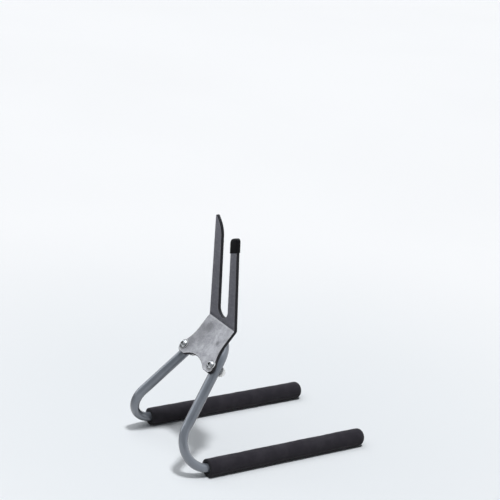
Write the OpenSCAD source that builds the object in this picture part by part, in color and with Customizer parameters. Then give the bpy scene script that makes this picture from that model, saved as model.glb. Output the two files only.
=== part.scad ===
// Floor bike stand: a bent tube whose two ends are floor rails in foam sleeves, and a folded steel plate
// on its legs with an upright slotted fork, one prong tall and one short and capped.
// Millimetres, +Z up. The origin is on the floor, in the middle of the stand's outer box.
// X runs from one rail to the other, Y runs along the rails and the fork faces -Y.

/* [Base tube] */
// Outside diameter of the bent tube
tube_d = 16; // [12:0.5:20]
// Wall thickness of the bent tube
tube_wall = 1.5; // [1:0.1:2.5]
// Distance between the centre lines of the two floor rails
rail_pitch = 188; // [170:1:230]
// Centre-line radius of the bend from each rail up into its leg
rail_bend_r = 43; // [32:1:50]
// Slope of the plane in which both legs lie, in degrees above the floor
leg_slope = 51; // [46:0.5:58]
// Angle by which each leg leans in towards the other, in degrees
leg_lean = 16; // [12:0.5:19]
// Centre-line radius of the bend that joins the legs behind the plate
crown_r = 39; // [34:0.5:43]
// Length of tube between each screw and the start of the bend behind the plate
screw_inset = 17.5; // [12:0.5:26]
// How much the tube's radius and the plate's faces draw in where they are bent
bend_draw = 0.05; // [0.04:0.01:0.1]

/* [Foam sleeves] */
// Outside diameter of the foam sleeves
sleeve_d = 28; // [24:0.5:36]
// Length of each foam sleeve
sleeve_len = 296; // [240:1:360]
// Thickness of foam beyond the tube at the closed end
sleeve_end_wall = 8; // [6:0.5:14]
// Rounding of the closed end
sleeve_end_round = 8; // [3:0.5:11]
// Rounding of the open end's outer edge
sleeve_mouth_round = 1.5; // [0.5:0.1:3]
// How far the foam reaches over the start of the bend
bend_cover = 7; // [2:0.5:10]
// Radial gap between foam and tube
foam_fit = 0.2; // [0.1:0.05:0.4]

/* [Hub plate] */
// Thickness of the plate
plate_t = 5; // [3:0.25:6]
// Distance from the screw row to the fold, along the slope
fold_reach = 63; // [58:0.5:78]
// Inside radius of the fold
fold_r = 2; // [1:0.25:4]
// Angle by which the fork leans forward of upright, in degrees
fork_lean = 3; // [0:0.5:6]
// Width of the plate at the fold and down to its waist
fork_w = 77; // [72:0.5:84]
// Angle by which the fork's outer edges lean inwards, in degrees
fork_taper = 2; // [0:0.25:3]
// Width of the slot between the prongs
slot_w = 28; // [24:0.5:32]
// Distance of the slot's centre line from the middle, towards the short prong
slot_shift = 1; // [-2:0.25:3]
// Height of the slot's lowest point above the fold
slot_floor = 9.5; // [5:0.5:14]
// Height of the tall prong above the fold
horn_h = 170; // [150:1:190]
// Distance from the tall prong's tip down to the corner that its shoulder rounds
horn_shoulder_drop = 15.5; // [14:0.5:24]
// Radius of the tall prong's shoulder
horn_shoulder_r = 36; // [16:1:38]
// Radius of the tall prong's tip
horn_tip_r = 3.5; // [2:0.5:4.5]
// How much lower the short prong's outer corner is than the tall prong's tip
short_prong_drop = 18; // [10:0.5:30]
// Slope of the short prong's top, falling towards the slot, in degrees
short_prong_ramp = 20; // [0:1:25]
// Radius of the short prong's corners
short_prong_r = 6; // [2:0.5:7]
// Height above the screw row at which the plate's sides start to flare, along the slope
waist_rise = 35.5; // [28:0.5:44]
// Radius of the lugs' corners
lug_r = 9.75; // [9:0.25:11]
// Distance of the lugs' corner centres below the screw row
lug_drop = 3; // [1:0.25:4]
// Length of each lug's straight lower edge
lug_flat = 9; // [4:0.5:14]
// Height of the lower edge's arch over the screw row
arch_rise = -2.25; // [-5:0.25:2]

/* [Prong cap] */
// Wall thickness of the cap
cap_wall = 0.8; // [0.6:0.1:2]
// Length of the cap along the prong's outer edge
cap_len = 22.5; // [16:0.5:34]
// Gap between cap and prong
cap_fit = 0.1; // [0.05:0.05:0.2]

/* [Screws] */
// Diameter of the screw shanks
screw_d = 8; // [6:0.5:8.5]
// Diameter of the button heads
head_d = 14; // [12.5:0.25:15.5]
// Height of the button heads
head_h = 4.4; // [3.8:0.1:5]
// Height of the button heads' upright rim
head_rim_h = 0.9; // [0.4:0.1:1.4]
// Width across the flats of the hexagon recess
recess_af = 5; // [4:0.5:6]
// Depth of the hexagon recess
recess_depth = 2.6; // [1.5:0.1:3]
// Outside diameter of the washers
washer_d = 17; // [15.5:0.25:18.5]
// Thickness of the washers
washer_t = 1.6; // [1:0.1:2]
// Width across the flats of the lock nuts
nut_af = 13; // [12:0.5:14.5]
// Height of the lock nuts' hexagon
nut_h = 5.2; // [4.5:0.1:7]
// Height of the collar that grips the thread
nut_collar_h = 1.2; // [0.8:0.1:2.5]
// How much smaller the collar's radius is than half the width across the flats
nut_collar_inset = 1; // [0.6:0.1:1.6]
// Slope of the chamfer on the hexagon's corners, in degrees
nut_chamfer = 30; // [20:1:40]
// Length of screw beyond the nut
screw_tail = 1; // [0.5:0.1:5]
// Radial gap between screws and the holes that they pass through
screw_clear = 0.4; // [0.2:0.05:0.6]
// Radial gap between screw and nut
thread_fit = 0.05; // [0.02:0.01:0.1]

/* [Tube plugs] */
// Thickness of each plug's head
plug_head_t = 2; // [1:0.25:4]
// Length of each plug inside the tube
plug_len = 14; // [8:0.5:24]
// Wall thickness of the plugs
plug_wall = 1.6; // [1:0.1:2.5]
// Radial gap between plug and tube
plug_fit = 0.1; // [0.05:0.05:0.2]

/* [Hidden] */
$fn = 96;
arc_steps = 12;
// How far a cutting shape reaches past what it cuts
over = 1;
// How far a bend runs on into the straight at each of its ends
lap = 0.05;

left = -1;
right = 1;

tube_r = tube_d / 2;
sleeve_r = sleeve_d / 2;
bore_r = tube_r + foam_fit;

// Tube run along Y, measured from the open ends of the sleeves
bend_start_y = bend_cover;
tube_end_y = sleeve_len - sleeve_end_wall - plug_head_t;
front_y = bend_start_y - rail_bend_r - tube_r;
middle_y = (front_y + sleeve_len) / 2;

// Rail bend: the leg's angle to the rail, the turn that gives it, and the tilt of the bend's plane
leg_to_rail = acos(cos(leg_lean) * cos(leg_slope));
rail_turn = 180 - leg_to_rail;
bend_tilt = atan2(tan(leg_lean), sin(leg_slope));
bend_rise = rail_bend_r * (1 - cos(rail_turn));
// How far the bend takes the tube off its bore where the foam covers it
cover_drift = rail_bend_r - sqrt(pow(rail_bend_r, 2) - pow(bend_cover, 2));

// Foot of each leg, and the leg's run up the sloping plane
foot_x = rail_pitch / 2 - bend_rise * sin(bend_tilt);
foot_y = bend_start_y - rail_bend_r * sin(rail_turn);
foot_z = sleeve_r + bend_rise * cos(bend_tilt);
leg_len = (foot_x - crown_r * cos(leg_lean)) / sin(leg_lean);
crown_v = leg_len * cos(leg_lean) - crown_r * sin(leg_lean);
screw_v = (leg_len - screw_inset) * cos(leg_lean);
screw_x = crown_r * cos(leg_lean) + screw_inset * sin(leg_lean);

// Plate
slot_r = slot_w / 2;
web_top = slot_floor + slot_r;
short_prong_h = horn_h - short_prong_drop;
fold_turn = 90 + fork_lean - leg_slope;
fold_setback = fold_r * tan(fold_turn / 2);
// Flare that leaves each side at the waist and meets the lug's corner smoothly
flare_dx = screw_x - fork_w / 2;
flare_r = meet_r(waist_rise + lug_drop, flare_dx);
// Arch that meets the inner ends of both lugs smoothly
lug_inner_x = screw_x - lug_flat;
arch_r = meet_r(lug_inner_x, arch_rise + lug_drop);

screw_hole_r = screw_d / 2 + screw_clear;
nut_r = nut_af / 2 / cos(30);
recess_r = recess_af / 2 / cos(30);
// Sphere that the button head is cut from
head_sphere_r = chord_r(head_d / 2, head_h - head_rim_h);

// Radius of the arc that leaves a straight edge and has moved away by rise after the distance run
function chord_r(run, rise) = (run * run + rise * rise) / (2 * rise);

// Radius of the arc that leaves a straight edge and meets a lug's corner from outside, where the corner's
// centre lies the given run along that edge and the given rise beyond it
function meet_r(run, rise) = (run * run + rise * rise - lug_r * lug_r) / (2 * (lug_r + rise));

function unit(v) = v / norm(v);

// Distance of the fork's outer edges from the middle at height h above the fold
function edge_x(h) = fork_w / 2 - h * tan(fork_taper);

// Points of a fillet of radius r at corner p, with neighbours a and b
function fillet(a, p, b, r) =
    let (to_a = unit(a - p),
         to_b = unit(b - p),
         half = acos(to_a * to_b) / 2,
         centre = p + unit(to_a + to_b) * r / sin(half),
         first = p + to_a * r / tan(half) - centre,
         from = atan2(first.y, first.x),
         sweep = (180 - 2 * half) * sign(cross(to_b, to_a)))
    [for (i = [0 : arc_steps]) centre + r * [cos(from + sweep * i / arc_steps),
                                             sin(from + sweep * i / arc_steps)]];

// Closed outline through corners [x, y, radius], where a radius of 0 keeps the corner sharp
function rounded(corners) =
    let (n = len(corners), flat = [for (c = corners) [c.x, c.y]])
    [for (i = [0 : n - 1])
        let (a = flat[(i + n - 1) % n], b = flat[(i + 1) % n], r = corners[i].z)
        each (r > 0 ? fillet(a, flat[i], b, r) : [flat[i]])];

// Moves its children from the sleeves' own Y to the stand's origin
module in_stand() {
    translate([0, -middle_y, 0]) children();
}

// Start of a rail's bend: +Z points up in the tilted plane of the bend
module at_rail_bend(side) {
    translate([side * rail_pitch / 2, bend_start_y, sleeve_r]) rotate([0, -side * bend_tilt, 0]) children();
}

// Plane of the legs' centre lines: X across, Y up the slope from the legs' feet, Z out of its front
module on_leg_plane() {
    translate([0, foot_y, foot_z]) rotate([leg_slope, 0, 0]) children();
}

// Centre of a screw's hole on the legs' centre line
module at_screw(side) {
    on_leg_plane() translate([side * screw_x, screw_v, 0]) children();
}

// Sharp line where the front faces of slope and fork would meet: Y up the fork, Z out of its front
module on_fork() {
    on_leg_plane() translate([0, screw_v + fold_reach, tube_r + plate_t]) rotate([fold_turn, 0, 0]) children();
}

// Bent rod of radius r, from the X axis on through the given turn
module rod_bend(bend_r, turn, r) {
    lap_turn = lap / bend_r * 180 / PI;
    rotate([0, 0, -lap_turn]) rotate_extrude(angle = turn + 2 * lap_turn)
        translate([bend_r, 0]) circle(r = r - bend_draw);
}

// The base tube's whole run as a solid rod of radius r; past lengthens its two ends
module tube_run(r, past) {
    for (side = [left, right]) {
        translate([side * rail_pitch / 2, bend_start_y, sleeve_r])
            rotate([-90, 0, 0]) cylinder(r = r, h = tube_end_y - bend_start_y + past);
        at_rail_bend(side) translate([0, 0, rail_bend_r]) rotate([0, 90, 0]) rotate([0, 0, -rail_turn])
            rod_bend(rail_bend_r, rail_turn, r);
        on_leg_plane() translate([side * foot_x, 0, 0]) rotate([0, 0, side * leg_lean])
            rotate([-90, 0, 0]) cylinder(r = r, h = leg_len);
    }
    on_leg_plane() translate([0, crown_v, 0]) rotate([0, 0, leg_lean])
        rod_bend(crown_r, 180 - 2 * leg_lean, r);
}

module base_tube() {
    color("slategray") in_stand() difference() {
        tube_run(tube_r, 0);
        tube_run(tube_r - tube_wall, over);
        for (side = [left, right]) at_screw(side)
            cylinder(r = screw_hole_r, h = tube_d + 2 * over, center = true);
    }
}

// Half section of a sleeve: x is the radius, y runs from the open end to the closed end
module sleeve_section() {
    difference() {
        union() {
            translate([0, sleeve_mouth_round])
                square([sleeve_r, sleeve_len - sleeve_mouth_round - sleeve_end_round]);
            square([sleeve_r - sleeve_mouth_round, sleeve_mouth_round]);
            translate([sleeve_r - sleeve_mouth_round, sleeve_mouth_round]) circle(r = sleeve_mouth_round);
            square([sleeve_r - sleeve_end_round, sleeve_len]);
            translate([sleeve_r - sleeve_end_round, sleeve_len - sleeve_end_round]) circle(r = sleeve_end_round);
        }
        // Bore for the tube, opened at the mouth for the start of its bend
        translate([-over, -over]) square([over + bore_r, over + sleeve_len - sleeve_end_wall]);
        polygon([[0, -over], [bore_r + cover_drift, -over], [bore_r + cover_drift, 0], [bore_r, bend_cover],
                 [0, bend_cover]]);
        translate([-sleeve_r - over, -over]) square([sleeve_r + over, sleeve_len + 2 * over]);
    }
}

module foam_sleeve(side) {
    color([0.16, 0.16, 0.17]) in_stand() translate([side * rail_pitch / 2, 0, sleeve_r])
        rotate([-90, 0, 0]) rotate_extrude() sleeve_section();
}

module tube_plug(side) {
    color("black") in_stand() translate([side * rail_pitch / 2, tube_end_y, sleeve_r])
        rotate([-90, 0, 0]) difference() {
            union() {
                cylinder(r = tube_r, h = plug_head_t);
                translate([0, 0, -plug_len])
                    cylinder(r = tube_r - tube_wall - plug_fit, h = plug_len + plug_head_t / 2);
            }
            translate([0, 0, -plug_len - over])
                cylinder(r = tube_r - tube_wall - plug_fit - plug_wall, h = plug_len + over);
        }
}

// Corners of the sloping part's right half without its curves, from fold to arch
function slope_corners() =
    let (lug = [screw_x, -lug_drop],
         inner = [lug_inner_x, -lug_drop],
         flare = [fork_w / 2 + flare_r, waist_rise],
         arch = [0, arch_rise - arch_r])
    [[fork_w / 2, fold_reach - fold_setback], [fork_w / 2, waist_rise], lug + lug_r * unit(flare - lug), lug,
     [lug.x, -lug_drop - lug_r], [inner.x, -lug_drop - lug_r], inner + lug_r * unit(arch - inner)];

// Flat outline of the sloping part, with the screw row on y = 0
module slope_outline() {
    half = slope_corners();
    n = len(half);
    difference() {
        union() {
            polygon([each half, for (i = [1 : n]) [-half[n - i].x, half[n - i].y]]);
            for (side = [left, right]) {
                translate([side * screw_x, -lug_drop]) circle(r = lug_r);
                translate([side * lug_inner_x, -lug_drop]) circle(r = lug_r);
            }
        }
        for (side = [left, right]) translate([side * (fork_w / 2 + flare_r), waist_rise]) circle(r = flare_r);
        translate([0, arch_rise - arch_r]) circle(r = arch_r);
    }
}

// Tall prong: a shoulder rounds its inner edge over into a narrow tip
module horn_outline() {
    inner = slot_shift - slot_r;
    tip = -edge_x(horn_h);
    polygon(rounded([[-edge_x(fold_setback), fold_setback, 0], [inner, fold_setback, 0],
                     [inner, horn_h - horn_shoulder_drop, horn_shoulder_r],
                     [tip + horn_tip_r, horn_h, horn_tip_r / 2],
                     [tip, horn_h, horn_tip_r / 2]]));
}

// Short prong, grown by the given amount on every side but its foot, which sits at the height from
module short_prong_outline(grow, from) {
    rise = tan(short_prong_ramp);
    top = short_prong_h + grow / cos(short_prong_ramp) + grow * rise;
    inner = slot_shift + slot_r - grow;
    foot = edge_x(from) + grow;
    outer = edge_x(top) + grow;
    corner_r = short_prong_r + grow;
    polygon(rounded([[inner, from - (foot - inner) * rise, 0], [foot, from, 0], [outer, top, corner_r],
                     [inner, top - (outer - inner) * rise, corner_r]]));
}

// Flat outline of the fork, with the fold's sharp line on y = 0
module fork_outline() {
    difference() {
        union() {
            polygon([[-edge_x(fold_setback), fold_setback], [edge_x(fold_setback), fold_setback],
                     [edge_x(web_top), web_top], [-edge_x(web_top), web_top]]);
            horn_outline();
            short_prong_outline(0, web_top);
        }
        translate([slot_shift, web_top]) circle(r = slot_r);
    }
}

// Folded strip between the sloping part and the fork
module fold() {
    lap_turn = lap / fold_r * 180 / PI;
    on_leg_plane() translate([0, screw_v + fold_reach - fold_setback, tube_r + plate_t + fold_r])
        rotate([0, 90, 0]) rotate([0, 0, -lap_turn]) rotate_extrude(angle = fold_turn + 2 * lap_turn)
        translate([fold_r + bend_draw, bend_draw - fork_w / 2])
        square([plate_t - 2 * bend_draw, fork_w - 2 * bend_draw]);
}

module hub_plate() {
    color("gray") in_stand() {
        difference() {
            on_leg_plane() translate([0, screw_v, tube_r]) linear_extrude(plate_t) slope_outline();
            for (side = [left, right]) at_screw(side) cylinder(r = screw_hole_r, h = tube_r + plate_t + over);
        }
        fold();
        on_fork() translate([0, 0, -plate_t]) linear_extrude(plate_t) fork_outline();
    }
}

module prong_cap() {
    mouth = short_prong_h - cap_len;
    skin = cap_wall + cap_fit;
    color([0.1, 0.1, 0.1]) in_stand() on_fork() difference() {
        translate([0, 0, -plate_t - skin]) linear_extrude(plate_t + 2 * skin) short_prong_outline(skin, mouth);
        translate([0, 0, -plate_t - cap_fit]) linear_extrude(plate_t + 2 * cap_fit)
            short_prong_outline(cap_fit, mouth - over);
    }
}

module screw(side) {
    head_z = tube_r + plate_t + washer_t;
    shank = head_z + tube_r + washer_t + nut_h + nut_collar_h + screw_tail;
    color("gainsboro") in_stand() at_screw(side) translate([0, 0, head_z]) {
        translate([0, 0, -shank]) cylinder(d = screw_d, h = shank);
        difference() {
            intersection() {
                cylinder(d = head_d, h = head_h);
                translate([0, 0, head_h - head_sphere_r]) sphere(r = head_sphere_r);
            }
            translate([0, 0, head_h - recess_depth]) cylinder(r = recess_r, h = recess_depth + over, $fn = 6);
        }
    }
}

module washer() {
    difference() {
        cylinder(d = washer_d, h = washer_t);
        translate([0, 0, -over]) cylinder(r = screw_hole_r, h = washer_t + 2 * over);
    }
}

module front_washer(side) {
    color("silver") in_stand() at_screw(side) translate([0, 0, tube_r + plate_t]) washer();
}

module back_washer(side) {
    color("silver") in_stand() at_screw(side) translate([0, 0, -tube_r - washer_t]) washer();
}

module lock_nut(side) {
    height = nut_h + nut_collar_h;
    color("silver") in_stand() at_screw(side) translate([0, 0, -tube_r - washer_t - height]) difference() {
        union() {
            translate([0, 0, nut_collar_h]) intersection() {
                cylinder(r = nut_r, h = nut_h, $fn = 6);
                // Chamfer of the hexagon's corners
                cylinder(r1 = nut_af / 2, r2 = nut_af / 2 + nut_h / tan(nut_chamfer), h = nut_h);
            }
            cylinder(r = nut_af / 2 - nut_collar_inset, h = nut_collar_h + over);
        }
        translate([0, 0, -over]) cylinder(r = screw_d / 2 + thread_fit, h = height + 2 * over);
    }
}

base_tube();
foam_sleeve(left);  // foam_sleeve_left
foam_sleeve(right);  // foam_sleeve_right
hub_plate();
prong_cap();
screw(left);  // screw_left
screw(right);  // screw_right
front_washer(left);  // front_washer_left
front_washer(right);  // front_washer_right
back_washer(left);  // back_washer_left
back_washer(right);  // back_washer_right
lock_nut(left);  // lock_nut_left
lock_nut(right);  // lock_nut_right
tube_plug(left);  // tube_plug_left
tube_plug(right);  // tube_plug_right
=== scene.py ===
"""Floor bike stand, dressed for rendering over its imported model.

A bent tube gives two floor rails in foam sleeves and two legs that lean together. A folded plate is screwed
to the legs, and its upright fork has one tall prong and one short, capped prong.

The classes work in millimetres in the stand's own frame: X across the rails, Y along them with the fork
facing -Y, and Z up from the floor. Points become metres where a mesh is made.
"""

import logging
import math
from dataclasses import dataclass, field
from enum import Enum

import bpy
import numpy as np
from mathutils import Matrix
from mathutils.geometry import delaunay_2d_cdt


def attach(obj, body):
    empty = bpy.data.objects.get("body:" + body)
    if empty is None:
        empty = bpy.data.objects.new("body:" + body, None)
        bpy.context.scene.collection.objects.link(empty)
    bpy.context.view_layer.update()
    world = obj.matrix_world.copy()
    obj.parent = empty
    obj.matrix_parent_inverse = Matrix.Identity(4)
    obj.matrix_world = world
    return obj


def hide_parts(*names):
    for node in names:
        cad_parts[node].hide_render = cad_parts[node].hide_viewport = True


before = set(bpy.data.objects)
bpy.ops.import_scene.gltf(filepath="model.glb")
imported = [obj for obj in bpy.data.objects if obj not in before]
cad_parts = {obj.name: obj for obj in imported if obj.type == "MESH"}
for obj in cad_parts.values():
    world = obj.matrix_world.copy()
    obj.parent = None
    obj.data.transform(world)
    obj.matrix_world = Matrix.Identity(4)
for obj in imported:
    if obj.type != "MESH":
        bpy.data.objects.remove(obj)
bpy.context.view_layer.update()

METRES = 0.001
BODY = "root"
LOG = logging.getLogger("bike_stand")

# Types: a flat point or pair, a point or colour, a run of the tube's centre line, a row of a turned part,
# a node's socket, and what a socket takes.
Flat = tuple[float, float]
Triple = tuple[float, float, float]
Run = tuple[np.ndarray, np.ndarray, np.ndarray]
Row = tuple[np.ndarray | float, np.ndarray | float, float]
Socket = bpy.types.NodeSocket
Value = Socket | float


class Side(Enum):
    """The two sides of the stand; the value is the sign of X."""

    LEFT = -1
    RIGHT = 1

    @property
    def word(self) -> str:
        """The side's word, as node names end with it."""
        return self.name.lower()


class Ends(Enum):
    """How the first and last ring of a ringed surface are closed."""

    POINTS = "a point closes each end"
    JOINED = "the last ring joins the first"


# Sizes and places


@dataclass(frozen=True)
class Placement:
    """A local frame: its origin, and its X, Y and Z directions as the rows of axes."""

    origin: np.ndarray
    axes: np.ndarray

    def points(self, local: np.ndarray) -> np.ndarray:
        """Takes points to the stand's frame: the origin plus each coordinate times its axis."""
        return self.origin + local @ self.axes

    def directions(self, local: np.ndarray) -> np.ndarray:
        """Takes directions to the stand's frame, turned and not moved."""
        return local @ self.axes

    def moved(self, x: float, y: float, z: float) -> "Placement":
        """Gives the same axes at another origin, a step along each of them from this one."""
        return Placement(self.points(np.array([x, y, z])), self.axes)

    def turned(self, degrees: float) -> "Placement":
        """Turns the frame about its own X.

        Args:
            degrees: turn from Y towards Z.

        Returns:
            The turned frame.
        """
        c, s = math.cos(math.radians(degrees)), math.sin(math.radians(degrees))
        x, y, z = self.axes
        return Placement(self.origin, np.array([x, c * y + s * z, c * z - s * y]))


@dataclass(frozen=True)
class StandSizes:
    """The stand's driving sizes, in millimetres and degrees, as its solids have them."""

    tube_d: float = 16.0
    tube_wall: float = 1.5
    rail_pitch: float = 188.0
    rail_bend_r: float = 43.0
    leg_slope: float = 51.0
    leg_lean: float = 16.0
    crown_r: float = 39.0
    screw_inset: float = 17.5
    sleeve_d: float = 28.0
    sleeve_len: float = 296.0
    sleeve_end_wall: float = 8.0
    plug_head_t: float = 2.0
    bend_cover: float = 7.0
    foam_fit: float = 0.2
    plate_t: float = 5.0
    fold_reach: float = 63.0
    fold_r: float = 2.0
    fork_lean: float = 3.0
    fork_w: float = 77.0
    fork_taper: float = 2.0
    slot_w: float = 28.0
    slot_shift: float = 1.0
    slot_floor: float = 9.5
    horn_h: float = 170.0
    horn_shoulder_drop: float = 15.5
    horn_shoulder_r: float = 36.0
    horn_tip_r: float = 3.5
    short_prong_drop: float = 18.0
    short_prong_ramp: float = 20.0
    short_prong_r: float = 6.0
    waist_rise: float = 35.5
    lug_r: float = 9.75
    lug_drop: float = 3.0
    lug_flat: float = 9.0
    arch_rise: float = -2.25
    cap_wall: float = 0.8
    cap_len: float = 22.5
    cap_fit: float = 0.1
    screw_d: float = 8.0
    head_d: float = 14.0
    head_h: float = 4.4
    head_rim_h: float = 0.9
    recess_af: float = 5.0
    recess_depth: float = 2.6
    washer_d: float = 17.0
    washer_t: float = 1.6
    nut_af: float = 13.0
    nut_h: float = 5.2
    nut_collar_h: float = 1.2
    nut_collar_inset: float = 1.0
    nut_chamfer: float = 30.0
    screw_tail: float = 1.0
    screw_clear: float = 0.4

    @property
    def tube_r(self) -> float:
        """Radius of the bent tube."""
        return self.tube_d / 2

    @property
    def sleeve_r(self) -> float:
        """Radius of the foam sleeves."""
        return self.sleeve_d / 2

    @property
    def rail_turn(self) -> float:
        """Turn of each rail's bend, in degrees."""
        lean, slope = math.radians(self.leg_lean), math.radians(self.leg_slope)
        return 180 - math.degrees(math.acos(math.cos(lean) * math.cos(slope)))

    @property
    def middle_y(self) -> float:
        """Y of the box's middle, measured from the open ends of the sleeves."""
        return (self.bend_cover - self.rail_bend_r - self.tube_r + self.sleeve_len) / 2

    @property
    def bend_tilt(self) -> float:
        """Tilt of the rails' bends inwards from upright, in radians."""
        return math.atan2(math.tan(math.radians(self.leg_lean)), math.sin(math.radians(self.leg_slope)))

    @property
    def foot(self) -> np.ndarray:
        """Point where the right leg's straight run starts.

        Returns:
            The end of the rail's bend, in the stand's frame.
        """
        turn = math.radians(self.rail_turn)
        rise = self.rail_bend_r * (1 - math.cos(turn))
        return np.array([self.rail_pitch / 2 - rise * math.sin(self.bend_tilt),
                         self.bend_cover - self.rail_bend_r * math.sin(turn) - self.middle_y,
                         self.sleeve_r + rise * math.cos(self.bend_tilt)])

    @property
    def leg_len(self) -> float:
        """Length of each leg's straight run."""
        lean = math.radians(self.leg_lean)
        return (self.foot[0] - self.crown_r * math.cos(lean)) / math.sin(lean)

    @property
    def screw_x(self) -> float:
        """Distance of the screws from the middle."""
        lean = math.radians(self.leg_lean)
        return self.crown_r * math.cos(lean) + self.screw_inset * math.sin(lean)

    @property
    def screw_v(self) -> float:
        """Height of the screws above the legs' feet, along the slope."""
        return (self.leg_len - self.screw_inset) * math.cos(math.radians(self.leg_lean))

    @property
    def slot_r(self) -> float:
        """Radius of the slot's round foot."""
        return self.slot_w / 2

    @property
    def web_top(self) -> float:
        """Height above the fold where the slot's straight sides start."""
        return self.slot_floor + self.slot_r

    @property
    def short_prong_h(self) -> float:
        """Height of the short prong's outer corner above the fold."""
        return self.horn_h - self.short_prong_drop

    @property
    def ramp_rise(self) -> float:
        """Rise of the short prong's top for each millimetre outwards."""
        return math.tan(math.radians(self.short_prong_ramp))

    @property
    def fold_turn(self) -> float:
        """Turn of the plate's fold, in degrees."""
        return 90 + self.fork_lean - self.leg_slope

    @property
    def fold_setback(self) -> float:
        """Distance from the fold's sharp line to the start of its bend."""
        return self.fold_r * math.tan(math.radians(self.fold_turn / 2))

    @property
    def fold_start(self) -> float:
        """Distance from the screws up the slope to the start of the fold's bend."""
        return self.fold_reach - self.fold_setback

    @property
    def fold_len(self) -> float:
        """Length of the fold's bend, along the middle of the plate."""
        return (self.fold_r + self.plate_t / 2) * math.radians(self.fold_turn)

    @property
    def hole_r(self) -> float:
        """Radius of the holes for the screws."""
        return self.screw_d / 2 + self.screw_clear

    def edge_x(self, height: float | np.ndarray) -> float | np.ndarray:
        """Gives half the fork's width at a height above the fold: half that at the fold, less the taper."""
        return self.fork_w / 2 - height * math.tan(math.radians(self.fork_taper))

    def meet_r(self, run: float, rise: float) -> float:
        """Gives the radius of an arc that leaves a straight edge and meets a lug's corner from outside.

        Args:
            run: distance of the corner's centre along the edge.
            rise: distance of that centre beyond the edge.

        Returns:
            (run squared + rise squared - corner squared) over twice (corner + rise).
        """
        return (run * run + rise * rise - self.lug_r**2) / (2 * (self.lug_r + rise))

    def leg_plane(self) -> Placement:
        """Gives the legs' plane: X across, Y up the slope from the feet, Z out of its front."""
        return Placement(self.foot * [0, 1, 1], np.eye(3)).turned(self.leg_slope)

    def screw_row(self) -> Placement:
        """Gives the plate's back face, with the screws on Y = 0."""
        return self.leg_plane().moved(0, self.screw_v, self.tube_r)

    def fork_plane(self) -> Placement:
        """Gives the fork's front face, with the fold's sharp line on Y = 0."""
        return self.screw_row().moved(0, self.fold_reach, self.plate_t).turned(self.fold_turn)

    def screw_axis(self, side: Side) -> Placement:
        """Gives the centre of a screw's hole on the legs' centre line, with Z out of the plate's front."""
        return self.leg_plane().moved(side.value * self.screw_x, self.screw_v, 0)

    def rail(self, side: Side) -> Placement:
        """Gives a rail's centre line: Y runs along it from the open end of its sleeve."""
        origin = np.array([side.value * self.rail_pitch / 2, -self.middle_y, self.sleeve_r])
        return Placement(origin, np.eye(3))


# Surfaces


@dataclass
class Surface:
    """A surface in the stand's frame: points in millimetres, faces, and what is known at each point."""

    points: np.ndarray
    faces: list[list[int]]
    normals: np.ndarray | None = None
    measures: dict[str, np.ndarray] = field(default_factory=dict)

    def turned_out(self) -> "Surface":
        """Makes the faces of a closed surface look outward.

        Returns:
            The surface itself, or with every face reversed where its volume, a sixth of the sum of each
            triangle's first point times the cross of the other two, is negative.
        """
        triangles = np.array([(f[0], f[i], f[i + 1]) for f in self.faces for i in range(1, len(f) - 1)])
        a, b, c = (self.points[triangles[:, i]] for i in range(3))
        if np.einsum("ij,ij->i", a, np.cross(b, c)).sum() > 0:
            return self
        return Surface(self.points, [f[::-1] for f in self.faces], self.normals, self.measures)

    def piece(self, name: str, material: bpy.types.Material, slot: str, *nodes: str,
              crease: float = 35.0) -> bpy.types.Object:
        """Makes the surface a piece of the stand.

        Args:
            name: the piece's name.
            material: its material.
            slot: a material slot's name; not used.
            nodes: the CAD nodes that it stands for.
            crease: edges sharper than this, in degrees, stay sharp where no normals are given.

        Returns:
            The new object, riding on the stand's one body.
        """
        mesh = bpy.data.meshes.new(name)
        mesh.from_pydata((self.points * METRES).tolist(), [], self.faces)
        mesh.polygons.foreach_set("use_smooth", np.ones(len(mesh.polygons), bool))
        for measure, values in self.measures.items():
            layer = mesh.attributes.new(measure, "FLOAT", "POINT")
            layer.data.foreach_set("value", values.astype(np.float32))
        mesh.validate()
        if self.normals is not None:
            mesh.normals_split_custom_set_from_vertices(self.normals.tolist())
        else:
            mesh.set_sharp_from_angle(angle=math.radians(crease))
        mesh.materials.append(material)
        mesh.update()
        thing = bpy.data.objects.new(name, mesh)
        bpy.context.scene.collection.objects.link(thing)
        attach(thing, BODY)
        if nodes:
            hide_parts(*nodes)
        return thing


def ring_faces(rings: int, around: int, joined: bool = False) -> np.ndarray:
    """Gives the quads between rings of points that follow one another.

    Args:
        rings: number of rings.
        around: points in each ring.
        joined: whether the last ring joins the first.

    Returns:
        One row of four point numbers for each quad.
    """
    ring, spot = np.meshgrid(np.arange(rings if joined else rings - 1), np.arange(around), indexing="ij")
    after, beside = (ring + 1) % rings, (spot + 1) % around
    return np.stack([ring * around + spot, ring * around + beside, after * around + beside,
                     after * around + spot], -1).reshape(-1, 4)


def ringed(rings: np.ndarray, ends: Ends, place: Placement) -> Surface:
    """Makes a closed surface of rings.

    Args:
        rings: local points, as ring, place in the ring, coordinate.
        ends: how the first and last ring are closed.
        place: the frame that the points are given in.

    Returns:
        Quads between the rings, and where points close them a fan to the middle of the first and last ring.
    """
    count, around, _ = rings.shape
    points = rings.reshape(-1, 3)
    faces = ring_faces(count, around, ends is Ends.JOINED).tolist()
    if ends is Ends.POINTS:
        points = np.vstack([points, rings[0].mean(0), rings[-1].mean(0)])
        spot, base = np.arange(around), (count - 1) * around
        beside, middle = (spot + 1) % around, 0 * spot + count * around
        faces += np.stack([middle, beside, spot], -1).tolist()
        faces += np.stack([middle + 1, base + spot, base + beside], -1).tolist()
    return Surface(place.points(points), faces).turned_out()


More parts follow.
